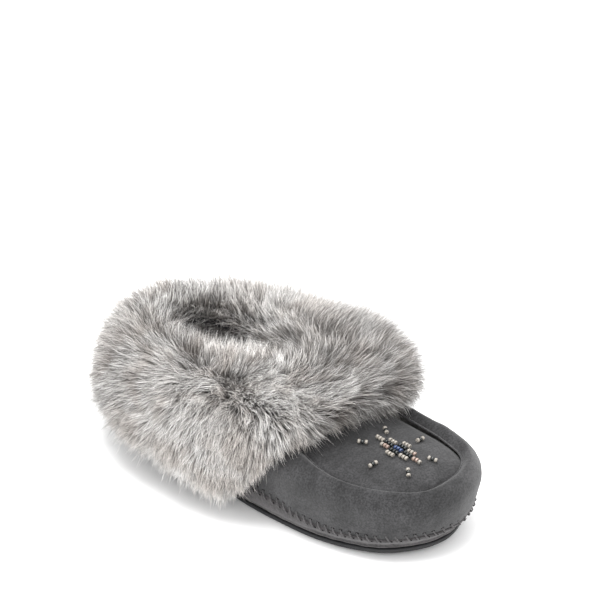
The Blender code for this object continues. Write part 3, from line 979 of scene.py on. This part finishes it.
class SLIPPER_OT_beads(bpy.types.Operator):
    """Seed beads sewn to the vamp in threes: a stepped diamond with six rays round it"""

    bl_idname = "slipper.beads"
    bl_label = "Beadwork"

    def execute(self, context):
        rng = np.random.default_rng(4)
        for name, toeward, inward, letters in MOTIF_ROWS:
            centre = (MOTIF[0] + inward, MOTIF[1] - toeward)
            lean = rng.normal(0, 0.05)
            add_bead_row(f"bead_row_{name}", centre, lean, letters, "beads_" + name, rng)
        for number, degrees in enumerate(RING_ANGLES, 1):
            angle = math.radians(degrees)
            x = MOTIF[0] - 1.0 + RING_HALF[0] * math.sin(angle)
            y = MOTIF[1] - RING_HALF[1] * math.cos(angle)
            lean = angle + rng.normal(0, 0.1)
            add_bead_row(f"bead_ray_{number}", (x, y), lean, "wdw", f"beads_ray_{number}", rng)
        return {"FINISHED"}


def foot_loops(levels):
    """Loops of the sole outline from (inset, height) levels, in mm."""
    body = body_shape()
    loops = []
    for inset, height in levels:
        flat = body.sole - body.normal * inset
        loops.append(np.column_stack([flat, np.full(STATIONS, height)]))
    return np.stack(loops)


class SLIPPER_OT_sole(bpy.types.Operator):
    """Thin outsole with a rounded edge, over a set-back near-black foam layer that also paints the shade
    in the gap
    """

    bl_idname = "slipper.sole"
    bl_label = "Sole"

    def execute(self, context):
        edge = ((4.0, 0.0), (2.6, 0.0), (1.3, 0.3), (0.5, 0.9), (0.1, 1.5), (0.0, 2.2), (0.1, 2.9),
                (0.6, 3.3), (1.4, 3.4), (4.0, 3.5))
        rubber = look_of("outsole_rubber", make_rubber)
        stack("outsole_edge", foot_loops(edge), rubber, "sole_rubber", ["outsole"])
        # The foam's near-black colour also paints the shade in the gap above the sole.
        foam = look_of("midsole_foam", make_gap_shade_foam)
        levels = ((3.0, 3.6), (2.8, 4.4), (3.0, 5.3), (2.8, 6.2), (3.0, 7.2))
        stack("midsole_layer", foot_loops(levels), foam, "foam", ["midsole_foam"])
        return {"FINISHED"}


class SLIPPER_OT_inside(bpy.types.Operator):
    """Fleece footbed, linings, boards and the collar band under the cuff"""

    bl_idname = "slipper.inside"
    bl_label = "Linings and footbed"

    def execute(self, context):
        levels = ((6.6, 9.6), (6.0, 11.0), (6.0, 13.6), (6.8, 15.2), (8.4, 16.1), (11.0, 16.5),
                  (14.0, 16.3), (17.0, 15.9), (19.0, 15.7))
        fleece = look_of("footbed_fleece", make_fleece)
        bed = stack("fleece_footbed", foot_loops(levels), fleece, "fleece", ["footbed"])
        self.pile()
        lining = look_of("grey_lining", make_weave, (0.12, 0.116, 0.112))
        board = look_of("fibre_board", make_board)
        finishes = {
            "wall_lining": lining, "vamp_lining": lining, "heel_counter": board,
            "toe_puff": board, "lasting_board": board, "collar_band": suede_look(),
        }
        for node, look in finishes.items():
            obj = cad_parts[node]
            for slot in obj.material_slots:
                slot.material = look
        return {"FINISHED"}

    def pile(self):
        """Short curly hairs over the part of the footbed that the opening shows."""
        rng = np.random.default_rng(71)
        edge = foot_loops([(8.0, 15.9)])[0]
        across = np.linspace(0, 1, 12)[None, :, None]
        half = STATIONS // 2
        bed = edge[1:half, None] * (1 - across) + edge[:half:-1, None] * across
        bed = bed[bed[:, 0, 1] > PILE_FROM]
        count = how_many("pile_hairs")
        u = rng.uniform(0, len(bed) - 1.001, count)
        roots = read_grid(bed, u, rng.uniform(0, bed.shape[1] - 1.001, count))
        up = np.broadcast_to(UP, roots.shape)
        lean = rng.normal(0, 0.9, roots.shape)
        length = rng.uniform(*PILE_LENGTH, count)
        paths = grow(roots, up, lean, up * 0.0, length, np.full(count, 0.4), rng, 4)
        paths, _ = gather(paths, roots, 1500, rng.uniform(0.3, 0.9, count), rng)
        look = look_of("fleece_pile", make_fur, 0.9)
        add_hair("footbed_pile", paths, PILE_RADIUS, rng.uniform(0.2, 0.9, count), u, look)


# ---- fur -----------------------------------------------------------------------------------


def tree_of(node):
    """Search tree over a CAD node, in the last's millimetres."""
    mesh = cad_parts[node].data
    points = [Vector(point) for point in from_frame([v.co for v in mesh.vertices])]
    return BVHTree.FromPolygons(points, [tuple(p.vertices) for p in mesh.polygons])


def strike(tree, start, direction):
    """Where a ray first meets a solid, or None."""
    hit = tree.ray_cast(Vector(start), Vector(direction))[0]
    return None if hit is None else np.array(hit)


def ring_point(angle, radius, height):
    """A place by its angle round the opening's centre."""
    return (
        CUFF_CENTRE[0] + math.cos(angle) * radius, CUFF_CENTRE[1] + math.sin(angle) * radius, height
    )


def round_off(table, passes):
    """Smooths an (angle, tilt) table round the ring and along each section."""
    for _ in range(passes):
        table = (np.roll(table, 1, axis=0) + 2 * table + np.roll(table, -1, axis=0)) / 4
        inner = (table[:, :-2] + 2 * table[:, 1:-1] + table[:, 2:]) / 4
        table = np.concatenate([table[:, :1], inner, table[:, -1:]], axis=1)
    return table


class Cuff:
    """Surface of the fur cuff as a grid over angle round the opening and tilt over the roll."""

    def __init__(self, around=192, tilts=48):
        tree = tree_of("fur_cuff")
        self.angles = np.linspace(-math.pi, math.pi, around, endpoint=False)
        self.share = np.linspace(0, 1, tilts)
        found = [self.section(tree, angle, tilts) for angle in self.angles]
        self.core = np.array([core for core, _, _ in found])
        self.tilt = round_off(np.array([tilt for _, tilt, _ in found]), 2)
        self.reach = round_off(np.array([reach for _, _, reach in found]), 3)

    def section(self, tree, angle, tilts):
        """Core point, tilts and reaches of the outer face from the hem over the top and inside."""
        away = (math.cos(angle), math.sin(angle), 0)
        near = np.linalg.norm(strike(tree, ring_point(angle, 0, 62.5), away)[:2] - CUFF_CENTRE)
        ring_z = strike(tree, ring_point(angle, near + 2.5, 20), (0, 0, 1))[2]
        core = np.array(ring_point(angle, near + 14.5, ring_z + 2.0))
        fan = np.radians(np.arange(-86, 188, 2.0))
        hits = [self.face_from(tree, core, away, tilt) for tilt in fan]
        low = [k for k, hit in enumerate(hits[:60]) if hit is not None]
        hem = min(low, key=lambda k: hits[k][2])
        known = [k for k in range(hem, len(hits)) if hits[k] is not None]
        reach = [np.linalg.norm(hits[k] - core) for k in known]
        spread = np.linspace(fan[hem], math.radians(184), tilts)
        return core, spread, np.interp(spread, fan[known], reach)

    def face_from(self, tree, core, away, tilt):
        """Where the outer face lies from the core along a tilt."""
        step = np.array([away[0] * math.cos(tilt), away[1] * math.cos(tilt), math.sin(tilt)])
        start = core + step * (150 if tilt < math.pi / 2 else 26)
        return strike(tree, start, -step)

    def grid(self, depth):
        """Points this far under the fur's face, (angle, tilt, 3)."""
        tilt = self.tilt
        reach = np.maximum(self.reach - depth, self.reach * 0.4)
        away = np.stack([np.cos(self.angles), np.sin(self.angles)], axis=1)
        flat = away[:, None] * (np.cos(tilt) * reach)[..., None]
        points = self.core[:, None] + np.concatenate([flat, (np.sin(tilt) * reach)[..., None]], axis=2)
        front = smooth_step(0.3, 0.8, -np.sin(self.angles))[:, None]
        overhang = 1 - FRONT_OVERHANG * front * smooth_step(0.4, 0.8, self.share)
        points[..., :2] = CUFF_CENTRE + (points[..., :2] - CUFF_CENTRE) * overhang[..., None]
        swell = FULL_DEPTH * bell(self.angles, FULL_SIDE)[:, None]
        swell = swell * (1 - smooth_step(0.35, 0.75, self.share))
        tuck = TUCK_DEPTH * bell(self.angles, FRONT_TUCK)[:, None]
        swell = swell - tuck * (1 - smooth_step(0.15, 0.5, self.share))
        points[..., :2] += away[:, None] * swell[..., None]
        return points


@functools.lru_cache(maxsize=None)
def cuff_shape():
    return Cuff()


def read_grid(grid, u, v):
    """Reads a grid that wraps in its first axis at fractional places."""
    rows, columns = grid.shape[:2]
    i, j = np.floor(u).astype(int), np.minimum(np.floor(v).astype(int), columns - 2)
    fu, fv = (u - i)[:, None], (v - j)[:, None]
    a, b = grid[i % rows, j], grid[(i + 1) % rows, j]
    c, d = grid[i % rows, j + 1], grid[(i + 1) % rows, j + 1]
    return (a * (1 - fu) + b * fu) * (1 - fv) + (c * (1 - fu) + d * fu) * fv


def scatter(grid, count, rng):
    """Evenly scattered places on a grid, as fractional (u, v)."""
    a = np.roll(grid, -1, axis=0)[:, :-1] - grid[:, :-1]
    b = grid[:, 1:] - grid[:, :-1]
    area = np.linalg.norm(np.cross(a, b), axis=2)
    cells = rng.choice(area.size, size=count, p=(area / area.sum()).ravel())
    u, v = np.divmod(cells, area.shape[1])
    return u + rng.random(count), v + rng.random(count)


def axes_of(grid):
    """Unit vectors round the ring, along each section and out of the surface."""
    around = unit(np.roll(grid, -1, axis=0) - np.roll(grid, 1, axis=0))
    along = unit(np.gradient(grid, axis=1))
    return around, along, unit(np.cross(around, along))


def turn_from(angle, degrees):
    """Shortest turn from a place round the ring, in radians."""
    return (angle - math.radians(degrees) + math.pi) % (2 * math.pi) - math.pi


def bell(angle, place):
    """A bell round the ring: 1 at the place and 0 well away from it."""
    degrees, width = place
    return np.exp(-((turn_from(angle, degrees) / width) ** 2))


def comb(angle, share):
    """How the hair leans: (round the ring, along the section, out), and how near the parting."""
    turn = turn_from(angle, PARTING)
    hang = 1 - smooth_step(0.1, 0.4, share)
    forward = smooth_step(0.12 + 0.35 * hang, 0.5 + 0.6 * hang, turn) * (1 - smooth_step(1.7, 2.4, turn))
    backward = smooth_step(0.12, 0.5, -turn) * (1 - smooth_step(0.9, 1.9, -turn))
    near = np.exp(-((turn / 0.55) ** 4))
    parting = 0.66 - 0.15 * near
    over = smooth_step(-0.05, 0.05, share - parting)
    inside = smooth_step(0.70, 0.82, share)
    front = smooth_step(0.35, 0.9, -np.sin(angle))
    round_ring = (1.0 * forward - 0.85 * backward) * (1 - 0.7 * inside)
    section = (2 * over - 1) * (1 - 0.6 * over * front) * (1 - inside)
    out = 0.3 + 0.1 * inside + 0.25 * over * (1 - inside)
    return round_ring, section, out, np.exp(-(((share - parting) / 0.07) ** 2)) * near


def grow(roots, normal, lean, droop, length, stiff, rng, points=5):
    """Strand paths (strand, point, 3): out of the hide, then over along the lean."""
    count = len(roots)
    loose = rng.normal(0, 1, (count, 3))
    first = unit(normal * (0.75 + 0.5 * stiff)[:, None] + lean * 0.7 + loose * 0.26)
    last = unit(normal * stiff[:, None] + lean + droop + loose * 0.3)
    t = np.linspace(0, 1, points)[None, :, None]
    path = first[:, None] * (t - t * t / 2) + last[:, None] * (t * t / 2)
    return roots[:, None] + path * length[:, None, None]


def gather(paths, roots, tufts, pull, rng):
    """Draws strands together into pointed locks."""
    picks = rng.choice(len(roots), size=min(tufts, len(roots)), replace=False)
    tree = kdtree.KDTree(len(picks))
    for number, pick in enumerate(picks):
        tree.insert(roots[pick], number)
    tree.balance()
    owner = np.array([picks[tree.find(root)[1]] for root in roots])
    t = np.linspace(0, 1, paths.shape[1])[None, :, None]
    spread = (roots - roots[owner])[:, None] * (1 - 0.75 * t)
    lock = paths[owner] + spread
    weight = pull[:, None, None] * t**1.3
    return paths * (1 - weight) + lock * weight, owner


def keep_near(paths, roots, rng):
    """Shortens the hairs that would reach too far past the frame, or into the floor."""
    low, high = from_frame(CAD_BOX)
    margin = (high - low) * PROUD_SHARE + LOOSE_HAIR - PROUD_SPARE
    slack = rng.uniform(0, RAGGED, len(paths))[:, None]
    low, high = low - margin + slack, high + margin - slack
    low[:, 2] = FLOOR_GAP
    tips = paths[:, -1]
    over = np.maximum((tips - high) / np.maximum(tips - roots, 1e-6), 0)
    under = np.maximum((low - tips) / np.maximum(roots - tips, 1e-6), 0)
    cut = 1 - np.maximum(over, under).max(axis=1)
    return roots[:, None] + (paths - roots[:, None]) * np.clip(cut, 0.1, 1)[:, None, None]


def hair_mesh(name, paths, radius, tone, look):
    """Mesh of thin three-sided strands that taper to a point, with colour places and a UV map."""
    count, points = paths.shape[:2]
    rings = points - 1
    along = unit(paths[:, -1] - paths[:, 0])
    side = unit(np.cross(along, (0.3, 0.2, 1.0)))
    up = np.cross(along, side)
    taper = radius * np.linspace(1.0, 0.62, rings)[None, :] * (0.75 + 0.5 * tone[:, None])
    turn = np.arange(3) * 2 * math.pi / 3
    circle = side[:, None] * np.cos(turn)[:, None] + up[:, None] * np.sin(turn)[:, None]
    body = paths[:, :rings, None] + circle[:, None] * taper[:, :, None, None]
    vertices = np.concatenate([body.reshape(count, -1, 3), paths[:, -1:]], axis=1)
    per = vertices.shape[1]
    faces = [(2, 1, 0)]
    for k in range(rings - 1):
        for j in range(3):
            a, b = 3 * k + j, 3 * k + (j + 1) % 3
            faces += [(a, b, b + 3), (a, b + 3, a + 3)]
    faces += [(3 * rings - 3 + j, 3 * rings - 3 + (j + 1) % 3, per - 1) for j in range(3)]
    faces = np.array(faces)
    loops = (faces[None] + np.arange(count)[:, None, None] * per).reshape(-1)
    mesh = bpy.data.meshes.new(name)
    mesh.vertices.add(count * per)
    mesh.vertices.foreach_set("co", to_frame(vertices.reshape(-1, 3)).ravel())
    mesh.loops.add(len(loops))
    mesh.loops.foreach_set("vertex_index", loops.astype(np.int32))
    mesh.polygons.add(len(loops) // 3)
    mesh.polygons.foreach_set("loop_start", np.arange(0, len(loops), 3, dtype=np.int32))
    share = np.concatenate([np.repeat(np.arange(rings) / rings, 3), [1.0]])
    add_values(mesh, "along", np.tile(share, count))
    add_values(mesh, "tone", np.repeat(tone, per))
    columns = int(math.ceil(math.sqrt(count * 2.0)))
    cell = np.stack(np.divmod(np.arange(count), columns)[::-1], axis=1)
    corner = np.tile(np.arange(3) / 2, rings).tolist() + [0.5]
    inside = np.stack([np.array(corner) * 0.6 + 0.2, share * 0.8 + 0.1], axis=1)
    spots = (cell[:, None] + inside[None]) / np.array([columns, math.ceil(count / columns)])
    layer = mesh.uv_layers.new(name="OFBake")
    layer.data.foreach_set("uv", spots.reshape(-1, 2)[loops].astype(np.float32).ravel())
    mesh.materials.append(look)
    mesh.update()
    mesh.validate()
    mesh.shade_smooth()
    return mesh


def add_values(mesh, name, values):
    """A number for each point, which the material reads by name."""
    layer = mesh.attributes.new(name, "FLOAT", "POINT")
    layer.data.foreach_set("value", values.astype(np.float32))


def add_hair(name, paths, radius, tone, order, look):
    """Hair pieces of neighbouring strands, few enough in each to keep every face."""
    per_piece = PIECE_FACES // (6 * (paths.shape[1] - 2) + 4)
    parts = int(math.ceil(len(paths) / per_piece))
    ranks = np.array_split(np.argsort(order, kind="stable"), parts)
    for number, rank in enumerate(ranks, 1):
        piece = f"{name}_{number}"
        mesh = hair_mesh(piece, paths[rank], radius, tone[rank], look)
        place(piece, mesh, "fur")


class Coat:
    """Hair roots scattered over the cuff, with the zones that set how each hair grows."""

    def __init__(self, count, depth, rng):
        cuff = cuff_shape()
        grid = cuff.grid(depth)
        u, v = scatter(grid, count, rng)
        self.roots = read_grid(grid, u, v)
        self.axes = [read_grid(axis, u, v) for axis in axes_of(grid)]
        self.angle = -math.pi + u / len(cuff.angles) * 2 * math.pi
        self.share = v / (len(cuff.share) - 1)
        self.round_ring, self.section, self.out, self.whorl = comb(self.angle, self.share)
        self.stand = smooth_step(0.56, 0.74, self.share)
        self.front = smooth_step(0.2, 0.9, -np.sin(self.angle))
        self.low = 1 - smooth_step(0.05, 0.5, self.share)
        # Parting gaps: shorter hair, painted darker as the shade in the gaps.
        gap = sum(bell(self.angle, place) for place in GAPS)
        self.gap = gap * np.exp(-(((self.share - GAP_SHARE) / 0.06) ** 2))

    def lean(self):
        """Which way each hair lies: combed along the hide, and upright round the opening."""
        ring, along, normal = self.axes
        combed = unit(ring * self.round_ring[:, None] + along * self.section[:, None] + normal * 0.05)
        away = np.stack([np.cos(self.angle), np.sin(self.angle), np.zeros(len(self.angle))], axis=1)
        upright = unit(UP - away * (0.3 + 0.45 * self.front)[:, None])
        part = 0.85 * self.stand[:, None]
        return combed * (1 - part) + upright * part

    def length(self):
        """Each hair's length as a share of a full one: short at the hem, the toe and the parting."""
        toeward = bell(self.angle, TOE_SIDE) * self.low
        inner_toe = bell(self.angle, INNER_TOE) * (1 - self.stand)
        hem = (1 - smooth_step(0.02, 0.3, self.share)) * (1 - toeward)
        side = (1 - 0.55 * toeward) * (1 + 0.4 * inner_toe) * (1 - 0.34 * hem)
        return side * (1 - 0.1 * self.stand) * (1 - 0.45 * self.whorl) * (1 - 0.35 * self.gap)

    def shade(self):
        """How much darker than usual each hair is: painted shade in the parting gaps, painted light that
        makes the near side paler, and a darker inner front, heel side, inside and standing rim.
        """
        inner_front = self.front * smooth_step(-0.9, 0.1, np.cos(self.angle))
        # The near side is painted paler: painted light on the lit hair.
        painted_lit_side = bell(self.angle, PAINTED_LIT_SIDE) * (1 - self.stand) * (1 - self.gap)
        inside = smooth_step(0.85, 1.0, self.share)
        shade = 0.34 * inner_front + 0.16 * inside + 0.22 * bell(self.angle, HEEL_SIDE)
        # Painted shade in the parting gaps, and painted light on the paler near side.
        return shade - 0.42 * painted_lit_side + 0.6 * self.gap + 0.04 * self.stand


def cuff_hair(count, length, points, tufts, pull, seed):
    """Paths, tones and angles of hair all over the cuff."""
    rng = np.random.default_rng(seed)
    coat = Coat(count, in_mm("hide_depth"), rng)
    stray = (rng.random(count) < STRAYS) * rng.uniform(0.3, 0.9, count)
    size = length * rng.uniform(0.65, 1.12, count) * coat.length() * (1 + 0.4 * stray)
    droop = -0.3 * UP * coat.low[:, None]
    normal = unit(coat.axes[2])
    paths = grow(coat.roots, normal, coat.lean(), droop, size, coat.out + stray, rng, points)
    pulls = rng.uniform(*pull, count) * (1 - stray)
    paths, owner = gather(paths, coat.roots, tufts, pulls, rng)
    paths = keep_near(paths, coat.roots, rng)
    lock_tone = rng.random(count)[owner]
    tone = 0.8 * rng.random(count) + 0.45 * lock_tone - 0.1 - coat.shade()
    return paths, np.clip(tone, 0, 1), coat.angle


class SLIPPER_OT_hide(bpy.types.Operator):
    """Soft hide of the cuff, which the hair grows from"""

    bl_idname = "slipper.hide"
    bl_label = "Cuff hide"

    def execute(self, context):
        cuff = cuff_shape()
        outer = cuff.grid(in_mm("hide_depth") + 0.4)
        inner = cuff.core[:, None] + (outer - cuff.core[:, None]) * 0.82
        sections = np.concatenate([outer, inner[:, ::-1]], axis=1)
        look = look_of("cuff_hide", make_hide)
        hide = sweep("cuff_hide", sections, True, look, "fur", ["fur_cuff"])
        return {"FINISHED"}


class SLIPPER_OT_fur(bpy.types.Operator):
    """Underfur and long guard hairs of the cuff, gathered in locks"""

    bl_idname = "slipper.fur"
    bl_label = "Cuff fur"

    def execute(self, context):
        length, radius = in_mm("hair_length"), in_mm("hair_radius")
        tufts = context.scene.slipper_sizes.tufts
        under = look_of("grey_underfur", make_fur, 0.46)
        paths, tone, angle = cuff_hair(
            how_many("under_hairs"), length * 0.6, 3, tufts * 2, (0.1, 0.5), 51
        )
        add_hair("underfur", paths, radius * 1.15, tone, angle, under)
        guard = look_of("grey_fur", make_fur)
        paths, tone, angle = cuff_hair(
            how_many("guard_hairs"), length, 4, tufts, (0.35, 0.95), 52
        )
        add_hair("guard_hair", paths, radius, tone, angle, guard)
        return {"FINISHED"}


def first_hit(trees, start, direction):
    """Distance to the nearest of several solids along a ray, or NaN."""
    hits = [strike(tree, start, direction) for tree in trees]
    reach = [np.linalg.norm(hit - start) for hit in hits if hit is not None]
    return min(reach, default=math.nan)


def throat_grid(around=120, rows=12):
    """Inner face of the opening over angle and height, its foot raised where the toes go in."""
    nodes = ("throat_fur", "collar_band", "wall_lining", "vamp_lining", "fur_cuff")
    trees = [tree_of(node) for node in nodes]
    angles = np.linspace(-math.pi, math.pi, around, endpoint=False)
    foot = THROAT_FOOT + THROAT_RISE * smooth_step(0.5, 0.8, -np.sin(angles))
    heights = foot[:, None] + (THROAT_TOP - foot)[:, None] * np.linspace(0, 1, rows)
    reach = np.array([
        [first_hit(trees, ring_point(a, 0, z), (math.cos(a), math.sin(a), 0)) for z in column]
        for a, column in zip(angles, heights)
    ])
    for column in reach.T:
        known = ~np.isnan(column)
        column[:] = np.interp(angles, angles[known], column[known], period=2 * math.pi)
    reach = round_off(reach, 2) - 0.6
    away = np.stack([np.cos(angles), np.sin(angles)], axis=1)
    plan = CUFF_CENTRE + away[:, None] * reach[..., None]
    return np.concatenate([plan, heights[..., None]], axis=2)


class SLIPPER_OT_throat(bpy.types.Operator):
    """Fur on its own hide inside the foot opening, a touch darker than the cuff's"""

    bl_idname = "slipper.throat"
    bl_label = "Throat fur"

    def execute(self, context):
        grid = throat_grid()
        self.line(grid)
        self.grow_hair(grid, np.random.default_rng(61))
        return {"FINISHED"}

    def line(self, grid):
        """Hide behind the hair."""
        back = grid.copy()
        back[..., :2] += unit(grid[..., :2] - CUFF_CENTRE) * THROAT_HIDE
        sections = np.concatenate([grid, back[:, ::-1]], axis=1)
        look = look_of("cuff_hide", make_hide)
        hide = sweep("throat_hide", sections, True, look, "fur", ["throat_fur"])

    def grow_hair(self, grid, rng):
        count = how_many("throat_hairs")
        u = rng.uniform(0, len(grid), count)
        v = rng.uniform(0, grid.shape[1] - 1.001, count)
        roots = read_grid(grid, u, v)
        inward = unit(np.column_stack([CUFF_CENTRE - roots[:, :2], np.zeros(count)]))
        lean = UP * 0.9 + inward * 0.35 + rng.normal(0, 0.25, (count, 3))
        length = in_mm("hair_length") * 0.7 * rng.uniform(0.7, 1.1, count)
        stiff = np.full(count, 0.1)
        paths = grow(roots, inward, lean, np.zeros((count, 3)), length, stiff, rng, 4)
        paths, _ = gather(paths, roots, 900, rng.uniform(0.2, 0.7, count), rng)
        tone = rng.uniform(0.1, 0.95, count)
        look = look_of("throat_hair", make_fur, 0.95)
        add_hair("throat_hair", paths, in_mm("hair_radius"), tone, u, look)


# ---- stage ---------------------------------------------------------------------------------

# The camera: which way it looks and how far down, in degrees, its lens in mm and its place in
# metres. Then each light as (name, place, what it aims at, size in metres, watts).
VIEW_AZIMUTH = 43.53
VIEW_DROP = 28.27
VIEW_LENS = 159.93
VIEW_FROM = (-0.9148, -0.9754, 0.8307)
FLOOR_HALF = 6.0
FLOOR_GREY = 0.93
SKY_STRENGTH = 1.5
LIGHTS = (
    ("key", (-0.3, 0.0, 1.5), (0, 0, 0.03), 0.8, 19.0),
    ("front", (-0.9, -1.2, 0.9), (0, -0.03, 0.03), 0.8, 5.5),
    ("rim", (0.8, 0.5, 1.2), (0, 0, 0.03), 0.9, 3.0),
)


def add_light(name, location, target, size, power):
    """Round soft light aimed at a target."""
    light = bpy.data.lights.new(name, "AREA")
    light.shape = "DISK"
    light.size = size
    light.energy = power
    obj = bpy.data.objects.new(name, light)
    obj.location = location
    aim = Vector(target) - Vector(location)
    obj.rotation_euler = aim.to_track_quat("-Z", "Y").to_euler()
    bpy.context.scene.collection.objects.link(obj)


class SLIPPER_OT_stage(bpy.types.Operator):
    """Pale floor, soft studio light and the camera"""

    bl_idname = "slipper.stage"
    bl_label = "Stage"

    def execute(self, context):
        scene = context.scene
        self.lay_floor(scene)
        scene.world = bpy.data.worlds.new("studio")
        scene.world.use_nodes = True
        background = scene.world.node_tree.nodes["Background"]
        background.inputs["Color"].default_value = (1, 1, 1, 1)
        background.inputs["Strength"].default_value = SKY_STRENGTH
        for light in LIGHTS:
            add_light(*light)
        self.set_camera(scene)
        scene.view_settings.view_transform = "Standard"
        return {"FINISHED"}

    def lay_floor(self, scene):
        mesh = bpy.data.meshes.new("floor")
        corners = [(x * FLOOR_HALF, y * FLOOR_HALF, 0) for x, y in ((-1, -1), (1, -1), (1, 1), (-1, 1))]
        mesh.from_pydata(corners, [], [(0, 1, 2, 3)])
        mesh.materials.append(Look("pale_floor", grey(FLOOR_GREY), 0.9, Specular_IOR_Level=0.1).material)
        floor = bpy.data.objects.new("floor", mesh)
        scene.collection.objects.link(floor)

    def set_camera(self, scene):
        camera = bpy.data.cameras.new("camera")
        camera.lens = VIEW_LENS
        camera.sensor_width = 36.0
        camera.clip_end = 50
        obj = bpy.data.objects.new("camera", camera)
        obj.location = VIEW_FROM
        across, drop = math.radians(VIEW_AZIMUTH), math.radians(VIEW_DROP)
        aim = Vector((
            math.sin(across) * math.cos(drop), math.cos(across) * math.cos(drop), -math.sin(drop)
        ))
        obj.rotation_euler = aim.to_track_quat("-Z", "Y").to_euler()
        scene.collection.objects.link(obj)
        scene.camera = obj


OPERATORS = (
    SLIPPER_OT_sole,
    SLIPPER_OT_wall,
    SLIPPER_OT_vamp,
    SLIPPER_OT_band,
    SLIPPER_OT_lacing,
    SLIPPER_OT_beads,
    SLIPPER_OT_inside,
    SLIPPER_OT_hide,
    SLIPPER_OT_fur,
    SLIPPER_OT_throat,
    SLIPPER_OT_stage,
)


class SLIPPER_PT_panel(bpy.types.Panel):
    """Lists the slipper's pieces and their sizes and colours"""

    bl_idname = "SLIPPER_PT_panel"
    bl_label = "Fluffy House Slipper"
    bl_space_type = "VIEW_3D"
    bl_region_type = "UI"
    bl_category = "Slipper"

    def draw(self, context):
        for operator in OPERATORS:
            self.layout.operator(operator.bl_idname)
        for group in (context.scene.slipper_sizes, context.scene.slipper_colours):
            for name in group.__annotations__:
                self.layout.prop(group, name)


CLASSES = (SlipperSizes, SlipperColours, *OPERATORS, SLIPPER_PT_panel)


def register():
    for item in CLASSES:
        bpy.utils.register_class(item)
    bpy.types.Scene.slipper_sizes = PointerProperty(type=SlipperSizes)
    bpy.types.Scene.slipper_colours = PointerProperty(type=SlipperColours)


def unregister():
    del bpy.types.Scene.slipper_colours
    del bpy.types.Scene.slipper_sizes
    for item in reversed(CLASSES):
        bpy.utils.unregister_class(item)


def main():
    register()
    for operator in OPERATORS:
        group, name = operator.bl_idname.split(".")
        getattr(getattr(bpy.ops, group), name)()


if __name__ == "__main__":
    main()
